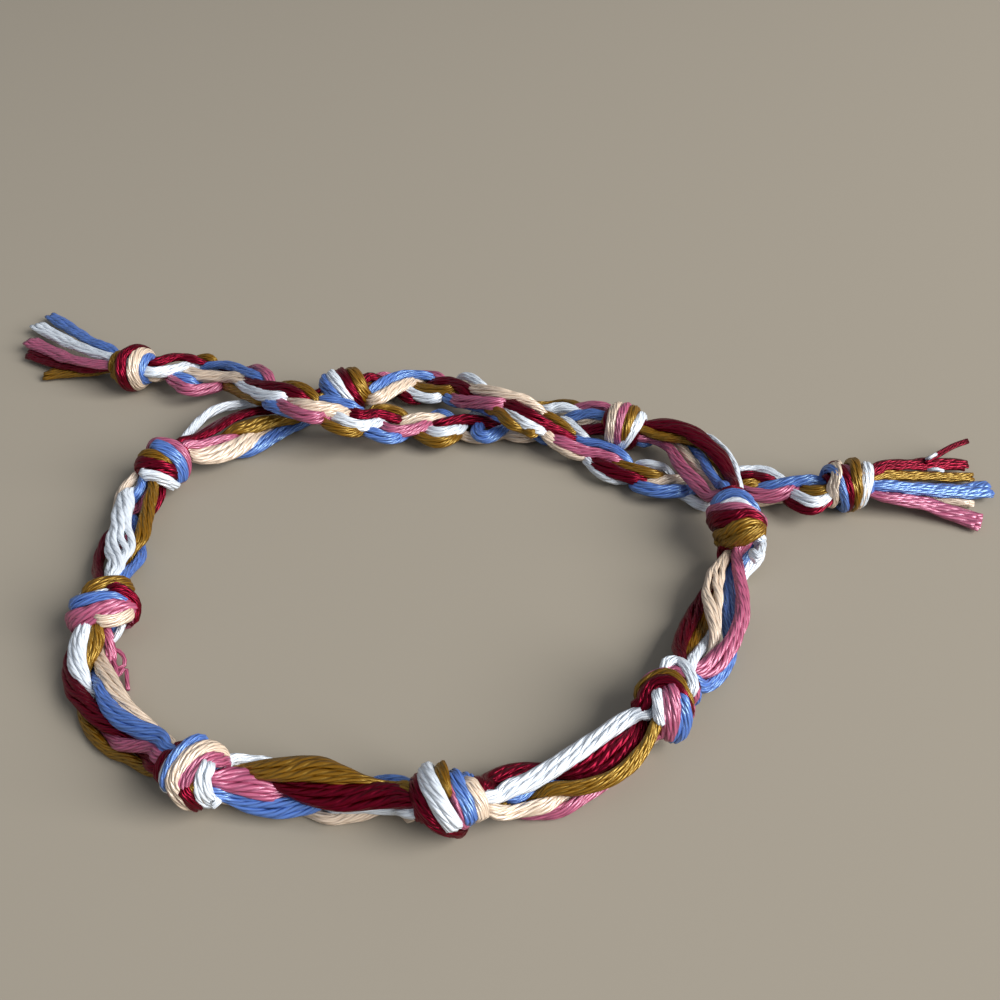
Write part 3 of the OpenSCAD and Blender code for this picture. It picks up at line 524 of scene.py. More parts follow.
# The strands of each tie from left to right: colour, width, and places with the height over the
# tie's middle line. A strand shows where it rides high and passes under the others where it is low.
TRACKS = {
    "braid_left": [
        ("white", 1.3,
         (150, 372, 0.5), (158, 372, 0.6), (166, 371, 0.6), (174, 369, 0.6), (182, 367, 0.5),
         (189, 366, 0.1), (198, 367, -0.4), (212, 371, -0.6), (226, 377, -0.6), (237, 381, 0.0),
         (245, 386.5, 0.5), (253, 391.5, 0.6), (262, 395.5, 0.6), (272, 396.5, 0.6),
         (281, 397, 0.5), (288, 398.5, 0.1), (298, 402, -0.5), (312, 407, -0.7),
         (326, 412, -0.5), (334, 416, 0.2), (342, 419.5, 0.5), (350, 423, 0.6), (358, 425.5, 0.6),
         (367, 425.5, 0.6), (375, 423.5, 0.5), (382, 422, 0.1), (392, 423, -0.5),
         (406, 426, -0.7), (418, 428, -0.4), (427, 429.5, 0.2), (434, 432, 0.5), (443, 433, 0.6),
         (452, 431, 0.6), (460, 428.5, 0.3), (467, 422, -0.3), (473, 415, -0.1), (480, 412.5, 0.2),
         (488, 412, 0.2), (502, 411, -0.3), (520, 410, -0.3), (538, 409.5, 0.0), (548, 409, 0.5),
         (557, 407.5, 0.6), (566, 407.5, 0.6), (574, 410, 0.3), (586, 414, -0.2),
         (600, 419, -0.2)),
        ("burgundy", 1.5,
         (150, 362, 0.4), (158, 361.5, 0.5), (168, 358.5, 0.6), (178, 357, 0.6), (188, 358, 0.6),
         (197, 360.5, 0.5), (204, 363.5, 0.1), (214, 368, -0.5), (226, 373, -0.6),
         (238, 377, -0.4), (246, 380.5, 0.2), (255, 384.5, 0.6), (265, 386.5, 0.6),
         (275, 387.5, 0.6), (285, 389, 0.7), (293, 392.5, 0.6), (300, 396, 0.4), (305, 400, -0.1),
         (316, 404, -0.6), (330, 407, -0.7), (342, 409.5, -0.3), (349, 411.5, 0.2),
         (357, 414.5, 0.6), (366, 415, 0.6), (376, 414, 0.6), (386, 415.5, 0.6), (394, 418.5, 0.5),
         (402, 421, 0.1), (412, 424, -0.5), (422, 427, -0.4), (429, 427.5, 0.0), (437, 425.5, 0.5),
         (446, 423, 0.6), (456, 420.5, 0.7), (466, 419.5, 0.7), (476, 420.5, 0.6), (486, 423, 0.4),
         (495, 425.5, 0.0), (510, 428, -0.3), (530, 430, -0.4), (550, 431, -0.4),
         (570, 431, -0.3), (588, 430, 0.0), (600, 429, 0.1)),
        ("gold", 1.25,
         (152, 374, -0.7), (160, 375, -0.8), (172, 374, -0.8), (184, 368, -0.7), (192, 362, -0.7),
         (200, 358, -0.2), (207, 357.5, 0.1), (213, 360.5, 0.0), (217, 367, -0.7), (219, 376, -0.8),
         (223, 384, -0.4), (230, 388, 0.0), (237, 391.5, 0.0), (245, 395.5, 0.0), (254, 399, 0.0),
         (262, 402, -0.3), (270, 399, -0.8), (277, 391, -0.8), (284, 386, -0.3), (291, 385, 0.1),
         (299, 386, 0.3), (306, 389.5, 0.3), (312, 394, 0.2), (316, 399, -0.1), (318, 407, -0.7),
         (319, 415, -0.7), (322, 421, -0.2), (329, 425.5, 0.1), (337, 429, 0.2), (346, 431.5, 0.2),
         (355, 432.5, 0.1), (362, 431, -0.3), (368, 423, -0.8), (371, 414, -0.6), (375, 409, -0.1),
         (381, 407.5, 0.2), (389, 408, 0.3), (396, 410.5, 0.3), (403, 414.5, 0.1),
         (407, 420, -0.3), (409, 426, -0.7), (412, 431, -0.2), (418, 435, 0.1), (426, 439, 0.2),
         (436, 442.5, 0.2), (446, 441.5, 0.2), (455, 437.5, 0.0), (462, 432, -0.4),
         (470, 424, -0.8), (482, 416, -0.8), (500, 412, -0.7), (525, 406, -0.6), (548, 405, -0.7),
         (562, 403, -0.3), (571, 404, 0.1), (579, 407, 0.1), (590, 412, -0.1), (600, 416, -0.1)),
        ("blue", 1.4,
         (153, 368, -0.7), (162, 371, -0.8), (169, 373, -0.4), (176, 376, 0.1), (183, 378.5, 0.3),
         (190, 381, 0.2), (196, 384, -0.2), (200, 378, -0.8), (202, 370, -0.6), (207, 366.5, 0.0),
         (216, 365, 0.4), (226, 365, 0.5), (235, 367, 0.6), (243, 370.5, 0.6), (251, 374, 0.6),
         (258, 377.5, 0.4), (264, 381, 0.0), (266, 390, -0.7), (265, 398, -0.6), (267, 403.5, 0.0),
         (274, 407, 0.1), (281, 410.5, -0.1), (288, 413.5, -0.4), (295, 415, -0.7),
         (300, 415, -0.8), (308, 413, -0.8), (315, 404, -0.7), (322, 400, -0.1), (332, 400.5, 0.4),
         (341, 402, 0.5), (349, 405, 0.6), (356, 408.5, 0.5), (362, 411.5, 0.1), (364, 419, -0.7),
         (362, 427, -0.5), (367, 431, 0.1), (374, 433.5, 0.3), (381, 436.5, 0.3), (389, 438.5, 0.3),
         (397, 437.5, 0.2), (404, 435, -0.2), (416, 428, -0.8), (428, 419, -0.8), (438, 413, -0.3),
         (445, 414, 0.0), (452, 418, -0.3), (462, 424, -0.8), (472, 424, -0.6), (479, 424.5, 0.3),
         (477, 430, 0.5), (479, 435.5, 0.5), (486, 437.5, 0.5), (494, 434.5, 0.5), (502, 430, 0.3),
         (509, 427.5, 0.0), (520, 428, -0.4), (530, 431, -0.3), (537, 435, 0.0), (543, 439, 0.0),
         (549, 441, -0.3), (558, 436, -0.7), (562, 427, -0.6), (566, 419, -0.1), (573, 416.5, 0.4),
         (582, 415, 0.5), (591, 414, 0.6), (599, 415, 0.5), (606, 417, 0.3)),
        ("pink", 1.4,
         (153, 364, -0.7), (160, 370, -0.8), (167, 376, -0.5), (172, 380.5, 0.1), (179, 385, 0.3),
         (185, 389, 0.5), (194, 390.5, 0.5), (203, 389.5, 0.4), (212, 388, 0.3), (220, 386, 0.0),
         (228, 380, -0.8), (238, 372, -0.8), (248, 370, -0.8), (257, 368, -0.3), (264, 371.5, 0.1),
         (268, 376, 0.2), (271, 383, -0.1), (273, 392, -0.8), (275, 399, -0.4), (280, 404, 0.2),
         (287, 408, 0.4), (295, 412, 0.5), (303, 415.5, 0.5), (312, 417.5, 0.5), (320, 417.5, 0.4),
         (328, 416.5, 0.0), (342, 416, -0.7), (358, 418, -0.8), (372, 421, -0.6), (381, 425, 0.0),
         (388, 430, 0.4), (398, 432, 0.5), (408, 430.5, 0.6), (418, 428, 0.6), (427, 425, 0.5),
         (434, 423, 0.1), (446, 420, -0.6), (465, 418, -0.6), (490, 417, -0.5), (520, 414, -0.4),
         (550, 410, -0.3), (570, 407.5, -0.1), (580, 407, 0.2), (590, 405.5, 0.3), (600, 406, 0.3),
         (608, 409, 0.1)),
        ("peach", 1.7,
         (155, 378, -0.6), (168, 374, -0.8), (180, 370, -0.5), (188, 371.5, 0.1), (197, 374.5, 0.4),
         (206, 376, 0.6), (215, 377, 0.7), (225, 377, 0.7), (234, 377, 0.7), (242, 378.5, 0.5),
         (249, 380.5, 0.1), (262, 387, -0.7), (276, 395, -0.8), (287, 402, -0.3), (294, 404.5, 0.2),
         (303, 406.5, 0.6), (312, 408, 0.7), (322, 409, 0.7), (332, 410, 0.7), (341, 411.5, 0.5),
         (349, 413, 0.1), (362, 417, -0.7), (378, 421, -0.8), (391, 424, -0.5), (399, 423, 0.0),
         (407, 420.5, 0.4), (415, 418.5, 0.6), (424, 417.5, 0.7), (433, 417.5, 0.6),
         (441, 417.5, 0.2), (448, 423, -0.6), (454, 431, -0.7), (460, 434, -0.5),
         (467, 437, -0.4), (475, 439, -0.5), (490, 438, -0.7), (502, 434, -0.5),
         (511, 435, -0.2), (520, 437, -0.1), (530, 437, -0.2), (545, 432, -0.5), (560, 424, -0.6),
         (575, 422, -0.3), (584, 421.5, 0.0), (592, 420, 0.0), (602, 419, 0.0)),
    ],
    "braid_right": [
        ("burgundy", 1.55,
         (368, 377, 0.3), (376, 378.5, 0.2), (384, 382, -0.3), (392, 388, -0.5), (399, 392.5, -0.2),
         (405, 396, 0.0), (412, 399.5, -0.2), (419, 400, -0.6), (424, 394, -0.8), (428, 386, -0.5),
         (433, 382.5, 0.1), (440, 381.5, 0.5), (449, 382, 0.6), (458, 385, 0.6), (465, 389, 0.5),
         (470, 394, 0.1), (476, 399, -0.5), (486, 401, -0.5), (496, 401, -0.3), (504, 402, 0.1),
         (512, 405.5, 0.5), (520, 410, 0.6), (530, 415.5, 0.7), (540, 421, 0.7), (550, 426.5, 0.7),
         (560, 432, 0.6), (569, 437, 0.4), (576, 441, 0.0), (582, 448, -0.6), (586, 455, -0.5),
         (591, 460, 0.0), (599, 464.5, 0.5), (607, 468.5, 0.6), (616, 472.5, 0.6),
         (625, 475.5, 0.6), (634, 478.5, 0.5), (641, 481.5, 0.1), (655, 486, -0.5),
         (672, 487, -0.6), (690, 484, -0.6), (708, 481, -0.5), (724, 479, -0.2), (737, 477, 0.2),
         (745, 475.5, 0.5), (754, 475.5, 0.5), (762, 477.5, 0.5), (770, 479.5, 0.3),
         (777, 483, -0.2), (780, 490, -0.7), (783, 496, -0.5), (790, 501, 0.0), (797, 504.5, 0.1),
         (805, 507.5, 0.1), (813, 508.5, 0.0), (822, 505, -0.2)),
        ("gold", 1.35,
         (368, 386, -0.3), (378, 388, -0.7), (390, 388, -0.8), (402, 386, -0.7), (411, 384.5, -0.3),
         (419, 387, 0.2), (428, 389.5, 0.4), (438, 390.5, 0.5), (448, 390.5, 0.5), (456, 389.5, 0.2),
         (464, 391, -0.4), (474, 398, -0.8), (483, 406, -0.7), (490, 411, -0.3), (496, 411, 0.0),
         (501, 414, 0.1), (505, 419, 0.1), (510, 424, 0.0), (516, 427.5, -0.3), (524, 430, -0.6),
         (532, 433.5, -0.2), (539, 429, -0.8), (540, 421, -0.8), (541, 414, -0.3), (547, 415, 0.3),
         (555, 419.5, 0.5), (563, 424.5, 0.5), (570, 430, 0.4), (576, 436, 0.0), (584, 444, -0.7),
         (594, 452, -0.8), (604, 459, -0.5), (612, 462.5, 0.0), (622, 465, 0.4), (632, 468, 0.5),
         (642, 471, 0.6), (652, 474, 0.5), (660, 476.5, 0.2), (667, 479, -0.3), (684, 484, -0.6),
         (702, 488, -0.5), (720, 489, -0.3), (736, 487, 0.1), (743, 485, 0.4), (750, 484, 0.5),
         (757, 484.5, 0.3), (764, 487, -0.3), (775, 491, -0.7), (788, 491, -0.6), (798, 489, -0.1),
         (806, 490.5, 0.3), (815, 491.5, 0.4), (824, 491, 0.3)),
        ("white", 1.25,
         (372, 384, -0.6), (384, 386, -0.8), (395, 387, -0.7), (403, 388.5, -0.1), (410, 392, 0.2),
         (417, 395.5, 0.3), (425, 398, 0.3), (433, 398.5, 0.3), (441, 397, 0.0), (450, 391, -0.7),
         (458, 382, -0.8), (462, 377, -0.3), (467, 376, 0.2), (473, 379, 0.3), (478, 383, 0.3),
         (482, 386, 0.2), (487, 391, -0.3), (495, 399, -0.7), (501, 404, -0.4), (507, 407.5, 0.1),
         (512, 413, 0.2), (518, 418.5, 0.2), (525, 423.5, 0.2), (532, 427, 0.1), (540, 430.5, 0.2),
         (547, 430.5, -0.2), (555, 426, -0.8), (559, 421, -0.5), (564, 420, 0.0), (570, 424, 0.4),
         (577, 429.5, 0.5), (583, 435, 0.5), (587, 440, 0.2), (587, 448, -0.6), (585, 455, -0.4),
         (587, 460, 0.0), (592, 465.5, 0.1), (598, 471, 0.1), (605, 475.5, 0.1),
         (612, 478.5, 0.0), (619, 480, -0.3), (628, 479, -0.7), (634, 470, -0.8), (638, 464.5, -0.4),
         (646, 464, 0.0), (656, 465.5, 0.1), (665, 468, -0.1), (672, 478, -0.7), (675, 487, -0.6),
         (679, 493.5, -0.3), (686, 497.5, -0.2), (693, 501, -0.1), (700, 504.5, -0.1), (707, 507, -0.3),
         (717, 499, -0.8), (724, 486, -0.8), (730, 476, -0.3), (738, 471, 0.2), (745, 469.5, 0.3),
         (753, 469, 0.3), (762, 470, 0.3), (770, 473, 0.3), (777, 477, 0.2), (784, 482, -0.2),
         (786, 488, -0.5), (790, 492, 0.0), (795, 495, 0.4), (802, 498.5, 0.6), (809, 501.5, 0.6),
         (817, 502.5, 0.4), (825, 500, 0.0)),
        ("blue", 1.45,
         (368, 393, -0.1), (374, 389.5, 0.2), (381, 384.5, 0.5), (389, 379.5, 0.6), (398, 376, 0.7),
         (408, 374.5, 0.7), (418, 374.5, 0.7), (427, 376, 0.5), (434, 379, 0.1), (439, 386, -0.6),
         (441, 392, -0.4), (446, 397.5, 0.0), (453, 401.5, 0.0), (461, 404, -0.3), (470, 406, -0.6),
         (480, 409, -0.7), (488, 412, -0.7), (502, 419, -0.6), (520, 425, -0.7), (540, 431, -0.7),
         (558, 436, -0.5), (570, 438.5, -0.1), (580, 440.5, 0.3), (590, 442.5, 0.5), (600, 444, 0.6),
         (609, 447, 0.6), (617, 451.5, 0.5), (624, 457, 0.4), (629, 463, 0.0), (631, 471, -0.6),
         (631, 479, -0.5), (635, 485, 0.0), (643, 488, 0.3), (652, 490.5, 0.4), (661, 491.5, 0.4),
         (671, 491.5, 0.4), (681, 491, 0.4), (690, 490, 0.1), (704, 488, -0.5), (720, 487, -0.6),
         (738, 488, -0.5), (750, 489.5, -0.2), (758, 489, 0.2), (766, 487.5, 0.5), (774, 486, 0.6),
         (783, 484, 0.7), (793, 482, 0.7), (803, 480.5, 0.7), (812, 480, 0.5), (820, 482, 0.1)),
        ("pink", 1.45,
         (372, 380, -0.7), (384, 376, -0.7), (396, 377, -0.8), (408, 376, -0.8), (418, 375, -0.6),
         (427, 374, -0.3), (435, 375.5, 0.1), (441, 378, 0.1), (446, 386, -0.6), (449, 393, -0.5),
         (454, 398.5, 0.1), (462, 401.5, 0.5), (472, 402.5, 0.6), (482, 403, 0.6), (492, 403.5, 0.6),
         (500, 404, 0.4), (508, 406, 0.0), (520, 413, -0.6), (534, 424, -0.7), (545, 433, -0.5),
         (553, 438, 0.1), (562, 442, 0.5), (571, 446, 0.6), (580, 449.5, 0.6), (590, 452.5, 0.6),
         (600, 454.5, 0.6), (610, 457.5, 0.5), (618, 461, 0.3), (625, 465, -0.2), (640, 474, -0.6),
         (660, 480, -0.5), (680, 484, -0.5), (700, 486, -0.5), (720, 487, -0.4), (735, 488.5, 0.0),
         (743, 490.5, 0.3), (751, 493.5, 0.6), (760, 495.5, 0.6), (770, 496, 0.6), (780, 494.5, 0.6),
         (790, 491.5, 0.5), (798, 488.5, 0.1), (808, 485, -0.5), (820, 484, -0.3)),
        ("peach", 1.55,
         (366, 398, -0.3), (372, 400, 0.1), (380, 397.5, 0.5), (388, 393, 0.6), (396, 388.5, 0.7),
         (404, 384.5, 0.7), (411, 382, 0.4), (418, 381, 0.0), (430, 380, -0.6), (444, 381, -0.7),
         (458, 384, -0.5), (468, 387, 0.0), (476, 389, 0.4), (484, 390.5, 0.5), (493, 392, 0.6),
         (502, 394, 0.7), (512, 396, 0.7), (522, 398.5, 0.7), (531, 403, 0.6), (538, 408, 0.4),
         (543, 414, 0.0), (545, 422, -0.6), (544, 429, -0.4), (546, 434, 0.0), (551, 439.5, 0.0),
         (558, 445, 0.0), (566, 450, 0.1), (574, 453.5, 0.1), (582, 456, 0.1), (590, 457.5, 0.0),
         (598, 458.5, -0.2), (612, 464, -0.8), (628, 474, -0.7), (642, 482, -0.3), (653, 482.5, 0.0),
         (663, 480.5, 0.1), (673, 479.5, 0.1), (683, 480, 0.0), (693, 484, -0.4), (708, 492, -0.6),
         (724, 498, -0.4), (738, 499.5, -0.2), (747, 500.5, -0.1), (757, 501, -0.1), (767, 500, -0.1),
         (777, 498, -0.1), (786, 497, -0.2), (800, 494, -0.6), (815, 492, -0.6)),
    ],
}

# Locks of the two tassels: colour, width at the tip, and places with heights
LEFT_LOCKS = [
    ("gold", 2.0, (104, 370, 1.2), (84, 371.5, 0.9), (63, 373, 0.6), (45, 375, 0.4)),
    ("peach", 1.0, (104, 365, 1.3), (88, 364, 0.9), (68, 359, 0.5), (48, 353, 0.4)),
    ("burgundy", 1.7, (104, 368, 2.0), (84, 368.5, 1.6), (56, 363, 1.0), (40, 358, 0.8),
     (28.5, 353, 0.7)),
    ("pink", 2.0, (105, 364.5, 3.0), (87, 363, 2.6), (67, 358, 2.1), (51, 351, 1.6), (30, 342, 1.0)),
    ("white", 1.9, (109, 357, 3.0), (87, 350, 2.5), (67, 342, 1.9), (47, 331, 1.2), (36, 325, 0.9)),
    ("blue", 1.7, (110, 350, 2.4), (87, 339, 1.9), (69.5, 328, 1.3), (51, 316, 0.7)),
]
RIGHT_LOCKS = [
    ("burgundy", 1.9, (883, 466, 2.8), (901, 465, 2.3), (928, 464, 1.7), (955, 464, 1.2),
     (967, 466, 1.0)),
    ("gold", 1.1, (882, 475, 2.4), (910, 476, 1.8), (946, 476.5, 1.2), (973, 478, 0.8)),
    ("peach", 0.8, (882, 487, 1.7), (905, 491, 1.3), (932, 497, 0.8), (953, 501, 0.6),
     (973, 504.5, 0.5)),
    ("blue", 2.5, (880, 486, 2.8), (910, 488, 2.2), (946, 490.5, 1.5), (973, 491.5, 1.0),
     (991, 489, 0.8)),
    ("pink", 2.7, (883, 496, 2.2), (910, 500.5, 1.7), (937, 508, 1.1), (964, 517, 0.7),
     (981, 523, 0.6)),
]


def unit(v):
    """v at length 1, also row by row."""
    return v / np.linalg.norm(v, axis=-1, keepdims=True)


def sight(u, v):
    """The direction in which the camera sees a place of the picture."""
    pitch = math.radians(PITCH_DOWN)
    across, down = (u - PICTURE / 2) / PICTURE, (v - PICTURE / 2) / PICTURE
    forward = np.array([0.0, math.cos(pitch), -math.sin(pitch)])
    upward = np.array([0.0, math.sin(pitch), math.cos(pitch)])
    return forward + np.array([1.0, 0.0, 0.0]) * across / FOCAL_SHARE - upward * down / FOCAL_SHARE


def seen(u, v, height):
    """The place that the camera sees there, at a height over the floor."""
    way = sight(u, v)
    return EYE + way * (height - EYE[2]) / way[2]


def across_picture(point):
    """How far across the picture the camera sees a place."""
    pitch = math.radians(PITCH_DOWN)
    away = point - EYE
    depth = away[1] * math.cos(pitch) - away[2] * math.sin(pitch)
    return PICTURE / 2 + PICTURE * FOCAL_SHARE * away[0] / depth


def ahead(heading):
    """The level direction of a heading, counted from X."""
    turn = math.radians(heading)
    return np.array([math.cos(turn), math.sin(turn), 0.0])


def outward(heading):
    """The level direction to the right of a heading."""
    turn = math.radians(heading)
    return np.array([math.sin(turn), -math.cos(turn), 0.0])


def gone_along(line):
    """The distance along a line at each of its points."""
    steps = np.linalg.norm(np.diff(line[:, :3], axis=0), axis=1)
    return np.concatenate([[0.0], np.cumsum(steps)])


def evened(line, step):
    """A line's points again, a step apart."""
    gone = gone_along(line)
    count = max(3, int(round(gone[-1] / step)) + 1)
    places = np.linspace(0, gone[-1], count)
    return np.stack([np.interp(places, gone, line[:, c]) for c in range(line.shape[1])], 1)


def curve_through(points, per_gap=CURVE_POINTS):
    """A Catmull-Rom curve through points, which may have further columns."""
    p = np.array(points, float)
    p = np.vstack([2 * p[0] - p[1], p, 2 * p[-1] - p[-2]])
    t = np.linspace(0, 1, per_gap, endpoint=False)[:, None]
    parts = []
    for a, b, c, d in zip(p, p[1:], p[2:], p[3:]):
        parts.append(0.5 * (2 * b + (c - a) * t + (2 * a - 5 * b + 4 * c - d) * t**2
                            + (3 * b - a - 3 * c + d) * t**3))
    return np.vstack(parts + [p[-2:-1]])


class Skein:
    """Gathers the plies of one piece as tubes, with a colour for each."""

    def __init__(self):
        self.points, self.quads, self.caps = [], [], []
        self.quad_uvs, self.quad_colours, self.cap_colours = [], [], []
        self.count = 0

    def tube(self, line, normal, ply_d, wide, colour, rng):
        """Adds a tube round a line, wide times as wide as thick, with its pattern shifted."""
        offset = rng.uniform(0, PATTERN_SHIFT)
        way = unit(np.gradient(line, axis=0))
        first = unit(normal - way * np.sum(normal * way, 1)[:, None])
        second = np.cross(way, first)
        turn = 2 * np.pi * np.arange(PLY_SIDES) / PLY_SIDES
        ring = (np.cos(turn)[None, :, None] * first[:, None]
                + (wide[:, None] * np.sin(turn))[:, :, None] * second[:, None])
        self.points.append((line[:, None] + ring * (ply_d / 2)).reshape(-1, 3))
        rings = len(line)
        j, i = np.meshgrid(np.arange(rings - 1), np.arange(PLY_SIDES), indexing="ij")
        after = (i + 1) % PLY_SIDES
        low = self.count + j * PLY_SIDES
        quad = np.stack([low + i, low + after, low + PLY_SIDES + after, low + PLY_SIDES + i], -1)
        self.quads.append(quad.reshape(-1, 4))
        gone = gone_along(line)
        u = np.stack([gone[j], gone[j], gone[j + 1], gone[j + 1]], -1)
        v = np.stack([i, i + 1, i + 1, i], -1) / PLY_SIDES
        self.quad_uvs.append(np.stack([u + offset, v], -1).reshape(-1, 2))
        index = COLOURS.index(colour)
        self.quad_colours.append(np.full(quad.shape[0] * quad.shape[1], index))
        ends = self.count + np.arange(PLY_SIDES)
        self.caps += [ends[::-1], ends + (rings - 1) * PLY_SIDES]
        self.cap_colours += [index, index]
        self.count += rings * PLY_SIDES

    def make(self, name):
        """The piece's object, with a smooth mesh in the frame's metres."""
        mesh = bpy.data.meshes.new(name)
        points = (np.vstack(self.points) - ORIGIN) * MM
        quads, caps = np.vstack(self.quads), np.vstack(self.caps)
        loops = np.concatenate([quads.reshape(-1), caps.reshape(-1)])
        starts = np.concatenate([np.arange(len(quads)) * 4,
                                 len(quads) * 4 + np.arange(len(caps)) * PLY_SIDES])
        mesh.vertices.add(len(points))
        mesh.vertices.foreach_set("co", points.reshape(-1))
        mesh.loops.add(len(loops))
        mesh.loops.foreach_set("vertex_index", loops.astype(np.int32))
        mesh.polygons.add(len(starts))
        mesh.polygons.foreach_set("loop_start", starts.astype(np.int32))
        mesh.update(calc_edges=True)
        mesh.validate()
        mesh.polygons.foreach_set("use_smooth", np.ones(len(starts), bool))
        slots = np.concatenate(self.quad_colours + [self.cap_colours])
        mesh.polygons.foreach_set("material_index", slots.astype(np.int32))
        for colour in COLOURS:
            mesh.materials.append(MATERIALS[colour])
        flat = np.zeros((len(caps) * PLY_SIDES, 2))
        uvs = np.vstack(self.quad_uvs + [flat])
        mesh.uv_layers.new(name="Thread").data.foreach_set("uv", uvs.reshape(-1))
        piece = bpy.data.objects.new(name, mesh)
        bpy.context.scene.collection.objects.link(piece)
        return piece


def wander(count, rng, amount):
    """A slow random drift in three directions along a ply."""
    x = np.arange(count) * PLY_STEP
    drift = np.zeros((count, 3))
    for length in DRIFT_LENGTHS:
        drift += np.sin(2 * np.pi * (x[:, None] / length + rng.random(3))) * amount / 2
    return drift


def parted(across, share, half, partings):
    """Places across a strand, moved where its plies part."""
    for at, reach, where, gap in partings:
        open_share = np.clip(1 - ((share - at) / reach) ** 2, 0, 1)
        side = np.tanh((across - where * half) / (PARTING_EDGE * half))
        across = across + gap / 2 * open_share * side
    return across


def ply_width(width, ply_d):
    """How wide the plies of a strand are."""
    return np.maximum(ply_d * PLY_WIDE, width * PLY_SHARE)


def lay_strand(skein, rng, colour, line, normal, width, thick, ply_d=PLY_D, partings=()):
    """Lays a strand's plies side by side round its line, in a flattened ring that turns slowly."""
    way = unit(np.gradient(line, axis=0))
    side = unit(np.cross(way, normal))
    up = np.cross(side, way)
    gone = gone_along(line)
    share = gone / gone[-1]
    first = rng.random()
    ply_w = ply_width(width, ply_d)
    half = (width - ply_w) / 2
    for k in range(PLIES):
        turn = 2 * np.pi * (k / PLIES + first + gone / TWIST_LENGTH)
        across = half * np.cos(turn + STAGGER * np.sin(turn) ** 2)
        across = parted(across, share, half, partings)
        high = (thick - ply_d) / 2 * np.sin(turn)
        middle = line + side * across[:, None] + up * high[:, None]
        middle = middle + wander(len(line), rng, PLY_WANDER)
        middle[:, 2] = np.maximum(middle[:, 2], ply_d / 2)
        skein.tube(middle, up, ply_d, ply_w / ply_d, colour, rng)


def loose_plies(skein, node, rng):
    """Lays the single plies that stand off the strands of a piece."""
    for colour, *places in LOOSE.get(node, ()):
        line = evened(curve_through([seen(*place) for place in places]), PLY_STEP)
        normal = np.tile(UP, (len(line), 1))
        skein.tube(line, normal, LOOSE_PLY_D, np.ones(len(line)), colour, rng)


def knot_middle(node):
    """The middle of a knot, from its box in the frame."""
    low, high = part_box(node)
    return (np.array(low) + np.array(high)) / 2 / MM + ORIGIN


def knot_face(node, way):
    """The middle of the face that strands leave (way 1) or meet (way -1)."""
    heading, length = KNOTS[node][:2]
    return knot_middle(node) + way * ahead(heading) * (length / 2 + JOINT_GAP)


def seat_place(seat):
    """Outward and upward places of a seat in the ring that leaves a knot."""
    turn = math.radians(SEAT_TURN * seat)
    return LEAVE_R * math.cos(turn), LEAVE_R * math.sin(turn)


def seat_point(node, way, seat):
    """A seat's place in a knot's face."""
    out, up = seat_place(seat)
    return knot_face(node, way) + outward(KNOTS[node][0]) * out + UP * up


def tucked(node, way, place):
    """A place inside a knot from which a strand comes out through its face to another place."""
    face = knot_face(node, way)
    return face - way * ahead(KNOTS[node][0]) * TUCK + (place - face) * TUCK_SHARE


def barrel_share(along, length):
    """A knot's radius along it, as a share of its largest."""
    share = np.clip(2 * along / length, -BARREL_PAST, BARREL_PAST)
    return np.sqrt(1 - (1 - FACE_SHARE**2) * share**2)


def on_knot(node, u, v):
    """Where the camera sees a knot at a place of the picture: degrees round it, and place along it."""
    heading, length, width, height = KNOTS[node]
    way = unit(sight(u, v))
    start = EYE - knot_middle(node)
    reach = -start @ way + np.linspace(-1, 1, SIGHT_STEPS) * (length + width)
    points = start + way * reach[:, None]
    along = points @ ahead(heading)
    share = barrel_share(along, length)
    out = points @ outward(heading) / (width / 2 * share)
    top = points[:, 2] / (height / 2 * share)
    depth = np.hypot(out, top)
    inside = np.flatnonzero(depth < 1)
    pick = inside[0] if len(inside) else depth.argmin()
    return math.degrees(math.atan2(top[pick], out[pick])), float(along[pick])


def ring_on(places, turn_total):
    """A band's places round and along its knot, carried on at both ends."""
    rows = np.array(places)
    rows[:, 0] = np.degrees(np.unwrap(np.radians(rows[:, 0])))
    path = curve_through(rows, BAND_POINTS)
    sign = np.sign(path[-1, 0] - path[0, 0]) or 1.0
    spare = max(turn_total - abs(path[-1, 0] - path[0, 0]), GO_ON_LEAST) / 2
    steps = np.arange(WRAP_STEP, spare + WRAP_STEP, WRAP_STEP)
    parts = []
    for end, near, out in ((path[0], path[SLANT_POINTS], -sign),
                           (path[-1], path[-1 - SLANT_POINTS], sign)):
        turned = max(abs(end[0] - near[0]), 1.0)
        slope = np.clip((end[1] - near[1]) / turned, -SLANT_MOST, SLANT_MOST)
        drift = slope * SLANT_FADE * (1 - np.exp(-steps / SLANT_FADE))
        parts.append(np.stack([end[0] + out * steps, end[1] + drift], 1))
    return np.vstack([parts[0][::-1], path, parts[1]])


